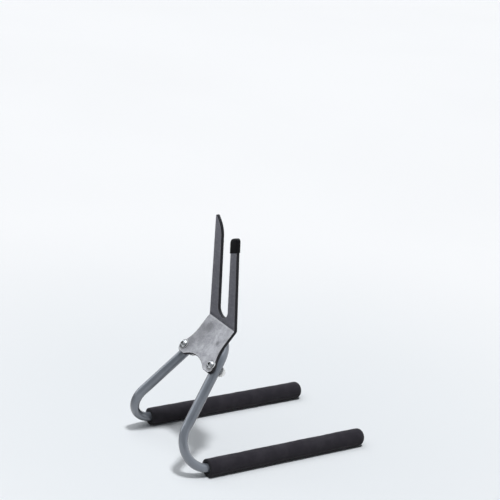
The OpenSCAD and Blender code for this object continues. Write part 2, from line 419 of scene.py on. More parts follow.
def turned_rings(profile: np.ndarray, around: int) -> np.ndarray:
    """Turns a half section about the local Z axis.

    Args:
        profile: points of the half section as radius and height.
        around: points in each ring.

    Returns:
        Rings whose points are radius times (cosine, sine) of equal angles, at the point's height.
    """
    angle = np.arange(around) * 2 * math.pi / around
    radius, height = profile[:, 0, None], profile[:, 1, None]
    return np.stack([radius * np.cos(angle), radius * np.sin(angle), height + 0 * angle], -1)


def arc(centre: Flat, radius: float, start: float, stop: float, step: float = 1.0) -> np.ndarray:
    """Gives points along a flat arc, its start left out.

    Args:
        centre: centre of the arc.
        radius: its radius.
        start: angle of its start, in degrees.
        stop: angle of its end, in degrees; smaller than start for a clockwise arc.
        step: greatest distance between points.

    Returns:
        Points at the centre plus the radius times (cosine, sine) of equal angles.
    """
    count = max(6, math.ceil(abs(math.radians(stop - start)) * radius / step))
    angle = np.radians(np.linspace(start, stop, count + 1)[1:])
    return np.array(centre) + radius * np.stack([np.cos(angle), np.sin(angle)], -1)


def corner(before: Flat, at: Flat, after: Flat, radius: float) -> np.ndarray:
    """Rounds a corner of an outline.

    Args:
        before: the outline's point before the corner.
        at: the corner.
        after: the point after it.
        radius: radius of the rounding.

    Returns:
        Points of the arc that touches both sides, both its ends included.
    """
    before, at, after = (np.array(p, float) for p in (before, at, after))
    a = (before - at) / np.linalg.norm(before - at)
    b = (after - at) / np.linalg.norm(after - at)
    half = math.acos(float(a @ b)) / 2
    centre = at + (a + b) / np.linalg.norm(a + b) * radius / math.sin(half)
    first = at + a * radius / math.tan(half)
    start = math.degrees(math.atan2(*(first - centre)[::-1]))
    sweep = math.degrees(math.pi - 2 * half) * math.copysign(1, b[0] * a[1] - b[1] * a[0])
    return np.vstack([first, arc(tuple(centre), radius, start, start + sweep, 0.6)])


def along(start: np.ndarray, stop: np.ndarray, step: float = 2.5) -> np.ndarray:
    """Gives points between two ends of a straight edge, both ends left out.

    Args:
        start: one end.
        stop: the other end.
        step: greatest distance between points.

    Returns:
        Equal steps along the edge.
    """
    count = max(1, math.ceil(float(np.linalg.norm(np.array(stop) - start)) / step))
    share = np.arange(1, count)[:, None] / count
    return np.array(start) + share * (np.array(stop) - start)


def outline_normals(outline: np.ndarray) -> np.ndarray:
    """Gives the outward normals at the points of a closed outline that runs counter-clockwise.

    Args:
        outline: points of the outline, one a row.

    Returns:
        At each point the mean of the two sides' normals, each side's direction turned a quarter clockwise.
    """
    side = np.roll(outline, -1, 0) - outline
    side /= np.linalg.norm(side, axis=1, keepdims=True)
    mean = side + np.roll(side, 1, 0)
    mean /= np.linalg.norm(mean, axis=1, keepdims=True)
    return np.stack([mean[:, 1], -mean[:, 0]], -1)


def least_distance(points: np.ndarray, outline: np.ndarray) -> np.ndarray:
    """Gives each point's distance to the nearest side of a closed outline.

    Args:
        points: flat points, one a row.
        outline: points of the outline.

    Returns:
        The least over all sides of the distance to the side's nearest point.
    """
    side = np.roll(outline, -1, 0) - outline
    length = (side**2).sum(1)
    best = np.full(len(points), np.inf)
    for start, run, square in zip(outline, side, length):
        share = np.clip(((points - start) @ run) / square, 0, 1)
        best = np.minimum(best, np.linalg.norm(points - start - share[:, None] * run, axis=1))
    return best


def inside(points: np.ndarray, outline: np.ndarray) -> np.ndarray:
    """Tells which points lie inside a closed outline.

    Args:
        points: flat points, one a row.
        outline: points of the outline.

    Returns:
        True where a ray along X crosses the outline's sides an odd number of times.
    """
    odd = np.zeros(len(points), bool)
    x, y = points[:, 0], points[:, 1]
    for (ax, ay), (bx, by) in zip(outline, np.roll(outline, -1, 0)):
        if ay != by:
            odd ^= ((ay > y) != (by > y)) & (x < (bx - ax) * (y - ay) / (by - ay) + ax)
    return odd


# Finishes


class Nodes:
    """Adds nodes to a tree and links them; a value is a number or another node's output."""

    def __init__(self, tree: bpy.types.NodeTree) -> None:
        """Takes over the tree of a material or of the world and clears it."""
        self.tree = tree
        tree.nodes.clear()

    def add(self, kind: str, inputs: dict | None = None, **settings: str) -> bpy.types.Node:
        """Adds a node.

        Args:
            kind: the node's type.
            inputs: sockets by name or number, each with a value or another node's output.
            settings: the node's own properties.

        Returns:
            The node.
        """
        node = self.tree.nodes.new(kind)
        for key, value in settings.items():
            setattr(node, key, value)
        for key, value in (inputs or {}).items():
            if isinstance(value, Socket):
                self.tree.links.new(value, node.inputs[key])
            else:
                node.inputs[key].default_value = value
        return node

    def ramp(self, value: Socket, low: float, high: float, least: float = 0.0, most: float = 1.0) -> Socket:
        """Takes a value between low and high smoothly to one between least and most."""
        return self.add("ShaderNodeMapRange", {0: value, 1: low, 2: high, 3: least, 4: most},
                        interpolation_type="SMOOTHSTEP").outputs[0]

    def maths(self, kind: str, a: Value, b: Value = 0.0) -> Socket:
        """Works out one value from two by one of Blender's operations."""
        return self.add("ShaderNodeMath", {0: a, 1: b}, operation=kind).outputs[0]

    def times(self, a: Value, b: Value) -> Socket:
        """Multiplies two values."""
        return self.maths("MULTIPLY", a, b)

    def plus(self, a: Value, b: Value) -> Socket:
        """Adds two values."""
        return self.maths("ADD", a, b)

    def greater(self, a: Value, b: Value) -> Socket:
        """Gives the greater of two values."""
        return self.maths("MAXIMUM", a, b)

    def rest(self, a: Value) -> Socket:
        """Gives one less a value."""
        return self.maths("SUBTRACT", 1.0, a)

    def distance(self, at: Socket, point: Triple) -> Socket:
        """Gives the distance of a place from a point."""
        return self.add("ShaderNodeVectorMath", {0: at, 1: point}, operation="DISTANCE").outputs["Value"]

    def part_along(self, way: Socket, axis: Triple) -> Socket:
        """Gives a direction's part along an axis."""
        return self.add("ShaderNodeVectorMath", {0: way, 1: axis}, operation="DOT_PRODUCT").outputs["Value"]

    def blend(self, share: Value, a: Triple | Socket, b: Triple | Socket, kind: str = "MIX") -> Socket:
        """Blends two colours.

        Args:
            share: share of the second colour.
            a: the first colour.
            b: the second colour.
            kind: Blender's name for the way of blending.

        Returns:
            The blended colour.
        """
        colours = {6: a if isinstance(a, Socket) else (*a, 1.0), 7: b if isinstance(b, Socket) else (*b, 1.0)}
        return self.add("ShaderNodeMix", {0: share, **colours}, data_type="RGBA", blend_type=kind).outputs[2]

    def tint(self, colour: Triple | Socket, share: Value, strength: Value, towards: Triple) -> Socket:
        """Blends a colour towards another by a share times a strength."""
        return self.blend(self.times(share, strength), colour, towards)

    def by_ray(self, kind: str, shades: dict[str, dict]) -> Socket:
        """Chooses a shade by the kind of ray.

        Args:
            kind: the type of the shades' node.
            shades: the shade's inputs by the light path's output that asks for it; the first has no name and
                serves all other rays, and a later one goes before an earlier one.

        Returns:
            The shade.
        """
        rays, chosen = self.add("ShaderNodeLightPath").outputs, None
        for ray, inputs in shades.items():
            shade = self.add(kind, inputs).outputs[0]
            mix = {0: rays[ray], 1: chosen, 2: shade} if ray else None
            chosen = self.add("ShaderNodeMixShader", mix).outputs[0] if mix else shade
        return chosen


class Shader(Nodes):
    """Builds one material on the Object coordinates, round one principled shader."""

    def __init__(self, name: str) -> None:
        """Starts the material.

        Args:
            name: the material's name.
        """
        self.material = bpy.data.materials.new(name)
        self.material.use_nodes = True
        super().__init__(self.material.node_tree)
        self.out = self.add("ShaderNodeOutputMaterial")
        self.surface = self.add("ShaderNodeBsdfPrincipled")
        self.tree.links.new(self.surface.outputs[0], self.out.inputs[0])
        self.coords = self.add("ShaderNodeTexCoord").outputs["Object"]

    def stretched(self, x: float, y: float, z: float) -> Socket:
        """Gives the coordinates times a factor along each axis."""
        return self.add("ShaderNodeMapping", {"Vector": self.coords, "Scale": (x, y, z)}).outputs[0]

    def noise(self, size: float, detail: float = 3.0, rough: float = 0.55, at: Socket | None = None,
              warp: float = 0.0) -> Socket:
        """Gives soft noise.

        Args:
            size: size of its spots, in millimetres.
            detail: number of finer layers.
            rough: strength of the finer layers.
            at: coordinates, if not the piece's own.
            warp: how much the noise is drawn about.

        Returns:
            A value between 0 and 1.
        """
        return self.add("ShaderNodeTexNoise",
                        {"Vector": at or self.coords, "Scale": 1 / (size * METRES), "Detail": detail,
                         "Roughness": rough, "Distortion": warp}).outputs[0]

    def cells(self, size: float) -> Socket:
        """Gives the distance from the middle of irregular cells of a size in millimetres."""
        scale = 1 / (size * METRES)
        return self.add("ShaderNodeTexVoronoi", {"Vector": self.coords, "Scale": scale}).outputs["Distance"]

    def measure(self, name: str) -> Socket:
        """Gives a value that the piece carries at its points."""
        return self.add("ShaderNodeAttribute", attribute_name=name).outputs["Fac"]

    def bump(self, height: Socket, depth: float, strength: float = 1.0,
             under: Socket | None = None) -> Socket:
        """Gives the normal of a relief.

        Args:
            height: the relief, 0 to 1.
            depth: its depth in millimetres.
            strength: how strongly it tells.
            under: the normal of a relief beneath it.

        Returns:
            The normal.
        """
        inputs = {"Height": height, "Distance": depth * METRES, "Strength": strength}
        if under is not None:
            inputs["Normal"] = under
        return self.add("ShaderNodeBump", inputs).outputs[0]

    def finished(self, **inputs: Value) -> bpy.types.Material:
        """Sets the principled shader's sockets.

        Args:
            inputs: values or outputs by socket; an underline in a name stands for a space.

        Returns:
            The material.
        """
        for key, value in inputs.items():
            socket = self.surface.inputs[key.replace("_", " ")]
            if isinstance(value, Socket):
                self.tree.links.new(value, socket)
            else:
                socket.default_value = value
        return self.material


@dataclass(frozen=True)
class TubePaint:
    """Satin silver paint with a blue cast over bent steel tube, with rubbed spots and a painted highlight on
    the bends.
    """

    colour: Triple = (0.161, 0.183, 0.217)
    pale: Triple = (0.29, 0.315, 0.36)
    rubbed: Triple = (0.1, 0.11, 0.13)
    roughness: float = 0.31
    metallic: float = 0.42
    coat_roughness: float = 0.07
    patch_size: float = 34
    flake_size: float = 0.35
    rub_size: float = 2.2
    peel_size: float = 1.3

    def material(self) -> bpy.types.Material:
        """Makes the paint: flakes, soft patches, fine rubs and a light orange-peel relief.

        Patches, flakes and the bends (a painted highlight) blend the colour towards the pale one, rubs
        towards the rubbed one.

        Returns:
            The material.
        """
        s = Shader("tube_paint")
        patches = s.ramp(s.noise(self.patch_size, 3, 0.6), 0.34, 0.68)
        flakes = s.ramp(s.cells(self.flake_size), 0.12, 0.5)
        rubs = s.ramp(s.noise(self.rub_size, 5, 0.7, s.stretched(1.0, 0.22, 0.3), 0.6), 0.6, 0.74)
        colour = s.tint(self.colour, patches, 0.3, self.pale)
        # Painted highlight: the bends are blended paler to stand in for the light they catch.
        colour = s.tint(colour, s.measure("bent"), 0.34, self.pale)
        colour = s.tint(colour, s.rest(flakes), 0.16, self.pale)
        colour = s.tint(colour, rubs, 0.16, self.rubbed)
        rough = s.ramp(s.noise(9, 4, 0.6), 0.3, 0.75, self.roughness - 0.03, self.roughness + 0.05)
        peel = s.bump(s.noise(self.peel_size, 2, 0.5), 0.05, 0.35)
        return s.finished(Base_Color=colour, Roughness=s.plus(rough, s.times(rubs, 0.06)),
                          Metallic=self.metallic, Coat_Weight=1.0, Coat_Roughness=self.coat_roughness,
                          Normal=s.bump(flakes, 0.008, 0.3, peel))


@dataclass(frozen=True)
class PlatePaint:
    """Satin grey paint over flat steel: cloudy, faint sanding lines, smudge marks, rubbed edges, painted
    shade and highlights.

    A spot is its place in metres, its reach in metres and its depth. The piece carries two measures in
    millimetres: edge, the distance from the cut edge, and rise, the distance up the blank from the fold.
    """

    colour: Triple = (0.322, 0.325, 0.352)
    cloud: Triple = (0.455, 0.46, 0.488)
    smudge: Triple = (0.12, 0.122, 0.135)
    # The cool cast of the fork's painted shade.
    cool: Triple = (0.345, 0.345, 0.445)
    # Pale of the rubbed paint and of the painted highlights.
    bare: Triple = (0.62, 0.62, 0.63)
    # Near black of the painted shade on the cut edges and just above the fold.
    cut_edge: Triple = (0.022, 0.022, 0.025)
    roughness: float = 0.37
    coat: float = 0.05
    coat_roughness: float = 0.35
    cloud_size: float = 16
    mottle_size: float = 3.2
    line_size: float = 0.55
    smudge_size: float = 7.5
    wipe_size: float = 3.4
    wear_size: float = 4.5
    peel_size: float = 1.1
    spots: tuple[tuple[Triple, float, float], ...] = (
        ((-0.0191, -0.0743, 0.1969), 0.019, 1.55),
        ((0.0228, -0.082, 0.1874), 0.006, 1.7),
        ((-0.0241, -0.0867, 0.1815), 0.01, 0.6),
        # The last two spots are painted shade: a broad darkening towards the left edge and the fold.
        ((-0.027, -0.081, 0.1887), 0.033, 1.3),
        ((-0.036, -0.0967, 0.1693), 0.027, 1.15))

    def smudged(self, s: Shader, wiped: Socket) -> Socket:
        """Gives the smudge marks, and the painted shade round the last two spots.

        Args:
            s: the material that is made.
            wiped: where the plate is wiped across.

        Returns:
            The greatest of a noise and, round each spot, its depth falling to nothing over its reach.
        """
        smudges_and_shade = s.ramp(s.noise(self.smudge_size, 5, 0.7, None, 1.2), 0.6, 0.74)
        kept = s.ramp(wiped, 0.0, 1.0, 0.55, 1.0)
        for spot, reach, depth in self.spots:
            near = s.ramp(s.distance(s.coords, spot), 0.15 * reach, reach, depth, 0.0)
            smudges_and_shade = s.greater(smudges_and_shade, s.times(near, kept))
        return smudges_and_shade

    def worn(self, s: Shader, edge: Socket, rise: Socket) -> Socket:
        """Gives where the plate is paler: rubbed paint and painted highlight beside the edges, painted
        highlight along the fold.

        Args:
            s: the material that is made.
            edge: distance from the cut edge.
            rise: distance up the blank from the fold.

        Returns:
            The greater of a patchy line beside the edges and a faint line along the fold.
        """
        beside = s.times(s.ramp(edge, 0.5, 1.6, 1.0, 0.0), s.ramp(edge, 0.15, 0.35))
        # A painted highlight along the fold.
        folded = s.times(s.ramp(rise, -2.6, -0.9), s.ramp(rise, 0.0, 1.6, 1.0, 0.0))
        patchy = s.ramp(s.noise(self.wear_size, 4, 0.7), 0.38, 0.56)
        patchy = s.greater(patchy, s.ramp(rise, -5.0, 0.0, 0.6, 0.0))
        return s.greater(s.times(beside, patchy), s.times(folded, 0.4))

    def material(self) -> bpy.types.Material:
        """Makes the paint: clouds, smudge marks, painted shade, sanding lines and, along the edges, rubbed
        paint and painted highlights.

        Each mark blends the colour towards its own one by its strength. The fork is painted cooler and darker
        than the slope as shade, most of all just above the fold, and the cut edges are painted near black as
        shade.

        Returns:
            The material.
        """
        s = Shader("plate_paint")
        edge, rise = s.measure("edge"), s.measure("rise")
        clouds = s.ramp(s.noise(self.cloud_size, 5, 0.66, None, 0.7), 0.36, 0.66)
        mottle = s.ramp(s.noise(self.mottle_size, 4, 0.7), 0.42, 0.66)
        lines = s.ramp(s.noise(self.line_size, 3, 0.6, s.stretched(0.07, 1.0, 1.0), 0.2), 0.46, 0.7)
        wiped = s.ramp(s.noise(self.wipe_size, 4, 0.65, s.stretched(0.45, 1.0, 1.0), 0.9), 0.44, 0.68)
        smudges_and_shade = self.smudged(s, wiped)
        # Painted shade on the fork: it turns cool and, just above the fold, darkens towards near black; its
        # clouds and mottle fade up it.
        even = s.ramp(rise, 2.0, 16.0, 1.0, 0.58)
        cut = s.ramp(edge, 0.05, 0.3, 1.0, 0.0)
        fork_foot_shade = s.times(s.ramp(rise, 0.8, 3.0), s.ramp(rise, 4.0, 10.0, 0.6, 0.24))
        colour = s.tint(self.colour, clouds, even, self.cloud)
        colour = s.tint(colour, mottle, s.times(even, 0.3), self.smudge)
        # Smudge marks, and painted shade round the last two spots, darken the colour.
        colour = s.tint(colour, smudges_and_shade, 0.72, self.smudge)
        # Painted shade: the fork's cool cast.
        colour = s.tint(colour, s.ramp(rise, 0.5, 4.0), 0.45, self.cool)
        # Painted shade just above the fold.
        colour = s.blend(fork_foot_shade, colour, self.cut_edge)
        colour = s.tint(colour, wiped, 0.42, self.cloud)
        colour = s.tint(colour, lines, 0.16, self.cloud)
        # Partly rubbed paint and partly painted highlight beside the edges, and a painted highlight along the
        # fold.
        colour = s.tint(colour, self.worn(s, edge, rise), 0.62, self.bare)
        # Painted shade: the cut edges are blended to near black.
        colour = s.tint(colour, cut, 0.97, self.cut_edge)
        rough = s.ramp(clouds, 0.0, 1.0, self.roughness + 0.08, self.roughness - 0.04)
        rough = s.greater(s.plus(rough, s.times(smudges_and_shade, 0.14)), s.times(cut, 0.62))
        peel = s.bump(s.noise(self.peel_size, 2, 0.5), 0.05, 0.4)
        return s.finished(Base_Color=colour, Roughness=rough, Metallic=s.ramp(cut, 0.0, 1.0, 0.5, 0.9),
                          Coat_Weight=self.coat, Coat_Roughness=self.coat_roughness,
                          Normal=s.bump(lines, 0.012, 0.35, peel))


@dataclass(frozen=True)
class BlackFoam:
    """Closed-cell black foam: matt, finely pored, with flattened skin and a little dust."""

    colour: Triple = (0.0225, 0.0203, 0.027)
    flattened: Triple = (0.032, 0.029, 0.037)
    pore: Triple = (0.012, 0.012, 0.013)
    cut_face: Triple = (0.016, 0.016, 0.017)
    dust: Triple = (0.1, 0.1, 0.105)
    roughness: float = 0.88
    pore_size: float = 0.62
    dimple_size: float = 2.6
    patch_size: float = 22
    dust_size: float = 1.7

    def material(self) -> bpy.types.Material:
        """Makes the foam: open pores, coarser dimples, soft worn patches and specks of dust.

        Returns:
            The material.
        """
        s = Shader("foam")
        pores = s.ramp(s.cells(self.pore_size), 0.05, 0.62)
        patches = s.ramp(s.noise(self.patch_size, 4, 0.6), 0.38, 0.68)
        specks = s.ramp(s.cells(self.dust_size), 0.03, 0.11, 1.0, 0.0)
        specks = s.times(specks, s.ramp(s.noise(9, 2, 0.5), 0.5, 0.66))
        colour = s.tint(self.colour, patches, 0.6, self.flattened)
        colour = s.tint(colour, s.rest(pores), 0.5, self.pore)
        colour = s.tint(colour, s.ramp(s.measure("cut"), 0.0, 1.0), 0.4, self.cut_face)
        colour = s.tint(colour, specks, 0.3, self.dust)
        dimples = s.bump(s.noise(self.dimple_size, 4, 0.65), 0.22, 0.5)
        return s.finished(Base_Color=colour, Specular_IOR_Level=0.22, Sheen_Weight=0.06, Sheen_Roughness=0.6,
                          Roughness=s.ramp(patches, 0.0, 1.0, self.roughness, self.roughness - 0.1),
                          Normal=s.bump(pores, 0.1, 0.55, dimples))


@dataclass(frozen=True)
class SoftVinyl:
    """Dipped black vinyl: smooth and slightly shiny, with shallow sags and scuffs."""

    colour: Triple = (0.006, 0.0056, 0.0075)
    dulled: Triple = (0.012, 0.012, 0.014)
    scuff: Triple = (0.06, 0.06, 0.064)
    roughness: float = 0.36
    scratch_size: float = 0.8
    dull_size: float = 6
    sag_size: float = 5

    def material(self) -> bpy.types.Material:
        """Makes the vinyl: soft sags in the skin, fine scratches along it and duller patches.

        Returns:
            The material.
        """
        s = Shader("cap_vinyl")
        scratches = s.ramp(s.noise(self.scratch_size, 4, 0.7, s.stretched(1.0, 1.0, 0.12), 0.8), 0.62, 0.72)
        dull = s.ramp(s.noise(self.dull_size, 4, 0.65), 0.36, 0.68)
        colour = s.tint(self.colour, dull, 0.4, self.dulled)
        colour = s.tint(colour, scratches, 0.5, self.scuff)
        sags = s.bump(s.noise(self.sag_size, 2, 0.5), 0.18, 0.5)
        return s.finished(Base_Color=colour, Specular_IOR_Level=0.1,
                          Roughness=s.ramp(dull, 0.0, 1.0, self.roughness - 0.06, self.roughness + 0.16),
                          Normal=s.bump(s.noise(0.7, 2, 0.5), 0.02, 0.3, sags))


@dataclass(frozen=True)
class PlatedSteel:
    """Plated small steel parts: bright metal with turning or tumbling marks, with painted shade in its
    hollows.
    """

    name: str
    colour: Triple
    tarnish: Triple
    roughness: float
    metallic: float = 1.0
    dirt: Triple = (0.05, 0.048, 0.045)
    grain_size: float = 0.35
    patch_size: float = 2.6
    pit_size: float = 1.1

    def material(self) -> bpy.types.Material:
        """Makes the plating: fine grain, small pits, darker patches and painted shade where the part is
        hollow.

        Returns:
            The material.
        """
        s = Shader(self.name)
        patches = s.ramp(s.noise(self.patch_size, 4, 0.65, None, 0.5), 0.4, 0.7)
        grain = s.noise(self.grain_size, 3, 0.6)
        colour = s.tint(self.colour, patches, 0.55, self.tarnish)
        colour = s.tint(colour, s.ramp(s.cells(self.pit_size), 0.05, 0.16, 1.0, 0.0), 0.4, self.tarnish)
        # Painted shade where the part is hollow: the recess, under the head's rim, the washer round the head
        # and the nut's bore.
        colour = s.tint(colour, s.ramp(s.measure("hollow"), 0.2, 1.0), 0.75, self.dirt)
        rough = s.ramp(grain, 0.25, 0.75, self.roughness - 0.05, self.roughness + 0.1)
        return s.finished(Base_Color=colour, Metallic=self.metallic, Normal=s.bump(grain, 0.01, 0.35),
                          Roughness=s.plus(rough, s.times(patches, 0.12)))


@dataclass(frozen=True)
class PlugPlastic:
    """Moulded black plastic of the plugs that close the tube inside the foam."""

    colour: Triple = (0.02, 0.02, 0.021)
    rubbed: Triple = (0.05, 0.05, 0.052)
    rub_size: float = 3
    grain_size: float = 0.4

    def material(self) -> bpy.types.Material:
        """Makes the plastic: a fine spark grain with slightly paler rub marks.

        Returns:
            The material.
        """
        s = Shader("plug_plastic")
        rubs = s.ramp(s.noise(self.rub_size, 4, 0.7), 0.5, 0.7)
        return s.finished(Base_Color=s.tint(self.colour, rubs, 0.5, self.rubbed),
                          Roughness=s.ramp(rubs, 0.0, 1.0, 0.5, 0.62),
                          Normal=s.bump(s.cells(self.grain_size), 0.03, 0.4))


class Finishes:
    """The stand's materials, one for each material slot."""

    def __init__(self) -> None:
        """Makes every material once."""
        self.tube_paint = TubePaint().material()
        self.plate_paint = PlatePaint().material()
        self.foam = BlackFoam().material()
        self.cap_vinyl = SoftVinyl().material()
        chrome = PlatedSteel("screw_chrome", (0.6, 0.62, 0.64), (0.26, 0.26, 0.27), 0.1)
        zinc = PlatedSteel("washer_steel", (0.8, 0.81, 0.82), (0.5, 0.5, 0.5), 0.4, metallic=0.6)
        bright = PlatedSteel("nut_steel", (0.86, 0.87, 0.86), (0.66, 0.65, 0.62), 0.4)
        self.screw_chrome, self.washer_steel, self.nut_steel = (p.material() for p in (chrome, zinc, bright))
        self.plug_plastic = PlugPlastic().material()


def dress(node: str, material: bpy.types.Material) -> None:
    """Gives a CAD node that stays in view a better material.

    Args:
        node: the node's name.
        material: its new material.
    """
    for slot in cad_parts[node].material_slots:
        slot.link = "OBJECT"
        slot.material = material


# Pieces


@dataclass
class Part:
    """A sub-assembly of the stand, built from the stand's sizes and finishes."""

    sizes: StandSizes
    finishes: Finishes

    def made(self, surface: Surface, name: str, slot: str, node: str,
             crease: float = 35.0) -> bpy.types.Object:
        """Makes a surface a piece that stands for a CAD node, with the finish of its material slot."""
        return surface.piece(name, getattr(self.finishes, slot), slot, node, crease=crease)


@dataclass
class BentTube(Part):
    """The bent tube: one hollow sweep from rail to rail, its section a little flattened in the bends."""

    flattening: float = 0.11
    widening: float = 0.02
    outward: float = 0.4
    crown_flattening: float = 0.1
    crown_inward: float = 0.4
    lead: float = 22.0
    step: float = 2.4
    around: int = 72
    bore_every: int = 4

    def straight(self, a: np.ndarray, b: np.ndarray, way: np.ndarray, side: np.ndarray) -> Run:
        """Divides a straight run in equal steps, its end left out.

        Args:
            a: where it starts.
            b: where it ends.
            way: its direction.
            side: direction to the centre of the bend that it belongs to.

        Returns:
            Points, and for each of them way and side.
        """
        count = max(2, round(float(np.linalg.norm(b - a)) / self.step))
        share = np.linspace(0, 1, count, endpoint=False)[:, None]
        return a + share * (b - a), np.repeat(way[None], count, 0), np.repeat(side[None], count, 0)

    def bend(self, a: np.ndarray, way: np.ndarray, side: np.ndarray, radius: float, turn: float,
             whole: bool = False) -> Run:
        """Divides a bend in equal steps.

        Args:
            a: where it starts.
            way: the direction it starts in.
            side: direction from its start to its centre.
            radius: its radius.
            turn: its turn, in radians.
            whole: whether its end is kept too.

        Returns:
            Points, which are the start plus the radius times the sine of the angle along way and one less its
            cosine along side, and for each the direction and the direction to the centre.
        """
        angle = np.linspace(0, turn, round(radius * turn / self.step) + 1, endpoint=whole)[:, None]
        s, c = np.sin(angle), np.cos(angle)
        return a + radius * (s * way + (1 - c) * side), c * way + s * side, c * side - s * way

    def runs(self) -> list[Run]:
        """Gives the right half of the centre line, from the rail's end to the middle of the crown.

        Returns:
            The rail, its bend, the lower and upper half of the leg, and the crown.
        """
        size = self.sizes
        lean, turn = math.radians(size.leg_lean), math.radians(size.rail_turn)
        ahead = np.array([0.0, -1.0, 0.0])
        start = size.rail(Side.RIGHT).points(np.array([0, size.bend_cover, 0]))
        rail_len = size.sleeve_len - size.sleeve_end_wall - size.plug_head_t - size.bend_cover
        inward = np.array([-math.sin(size.bend_tilt), 0.0, math.cos(size.bend_tilt)])
        plane = size.leg_plane()
        up_leg = plane.directions(np.array([-math.sin(lean), math.cos(lean), 0.0]))
        across = plane.directions(np.array([-math.cos(lean), -math.sin(lean), 0.0]))
        end = size.foot + size.leg_len * up_leg
        middle = size.foot + (end - size.foot) * 0.5
        return [self.straight(start - rail_len * ahead, start, ahead, inward),
                self.bend(start, ahead, inward, size.rail_bend_r, turn),
                self.straight(size.foot, middle, up_leg, math.cos(turn) * inward - math.sin(turn) * ahead),
                self.straight(middle, end, up_leg, across),
                self.bend(end, up_leg, across, size.crown_r, math.pi / 2 - lean, whole=True)]

    def bent(self, past: np.ndarray) -> np.ndarray:
        """Gives a smooth step, share squared times (3 - 2 share), of the distance past a bend's end."""
        share = np.clip(past / self.lead + 0.5, 0, 1)
        return share * share * (3 - 2 * share)

    def centre_line(self) -> tuple[np.ndarray, ...]:
        """Gives the whole centre line: the right half and its mirror image.

        Returns:
            Points, directions, directions to the bend's centre, and how fully each place is bent by the
            rails' bends and by the crown.
        """
        runs = self.runs()
        points, ways, sides = (np.concatenate([run[i] for run in runs]) for i in range(3))
        gone = np.concatenate([[0], np.cumsum(np.linalg.norm(np.diff(points, axis=0), axis=1))])
        ends = np.cumsum([0] + [len(run[0]) for run in runs])
        bent = self.bent(gone - gone[ends[1]]) * self.bent(gone[ends[2]] - gone)
        crowned = self.bent(gone - gone[ends[4]])
        flip = np.array([-1.0, 1.0, 1.0])
        halves = (points, flip), (ways, -flip), (sides, flip), (bent, 1.0), (crowned, 1.0)
        return tuple(np.concatenate([half, half[-2::-1] * over]) for half, over in halves)

    def rings(self, radius: float) -> tuple[np.ndarray, np.ndarray]:
        """Sweeps the section along the centre line.

        The section's frame is carried from place to place and made square to the direction. In a bend its
        part towards the centre shrinks by the flattening, and its part across grows by the widening.

        Args:
            radius: radius of the straight tube.

        Returns:
            Rings, and for each ring how fully it is bent.
        """
        points, ways, sides, bent, crowned = self.centre_line()
        frames, carried = [], np.array([1.0, 0.0, 0.0])
        for way in ways:
            carried = carried - (carried @ way) * way
            carried /= np.linalg.norm(carried)
            frames.append((carried, np.cross(way, carried)))
        first, second = np.array(frames)[:, None, 0], np.array(frames)[:, None, 1]
        angle = (np.arange(self.around) * 2 * math.pi / self.around)[:, None]
        offset = radius * (np.cos(angle) * first + np.sin(angle) * second)
        inward, wide = (np.einsum("rpk,rk->rp", offset, axis)[..., None] * axis[:, None]
                        for axis in (sides, np.cross(ways, sides)))
        shrink = (self.flattening * bent + self.crown_flattening * crowned)[:, None, None]
        offset = offset - shrink * inward + self.widening * bent[:, None, None] * wide
        moved = points + (self.crown_inward * crowned - self.outward * bent)[:, None] * sides
        return moved[:, None] + offset, bent + crowned

    def build(self) -> bpy.types.Object:
        """Builds the tube with its bore, and dresses the plugs, whose solids stay.

        Returns:
            The tube.
        """
        size = self.sizes
        outside, bent = self.rings(size.tube_r)
        bore, _ = self.rings(size.tube_r - size.tube_wall)
        keep = sorted({*range(0, len(bore), self.bore_every), 1, len(bore) - 2, len(bore) - 1})
        rings = np.concatenate([outside, bore[keep][::-1]])
        surface = ringed(rings, Ends.JOINED, Placement(np.zeros(3), np.eye(3)))
        surface.measures["bent"] = np.repeat(np.append(bent, bent[keep][::-1]), self.around)
        for side in Side:
            dress(f"tube_plug_{side.word}", self.finishes.plug_plastic)
        return self.made(surface, "bent_tube", "tube_paint", "base_tube", 40)


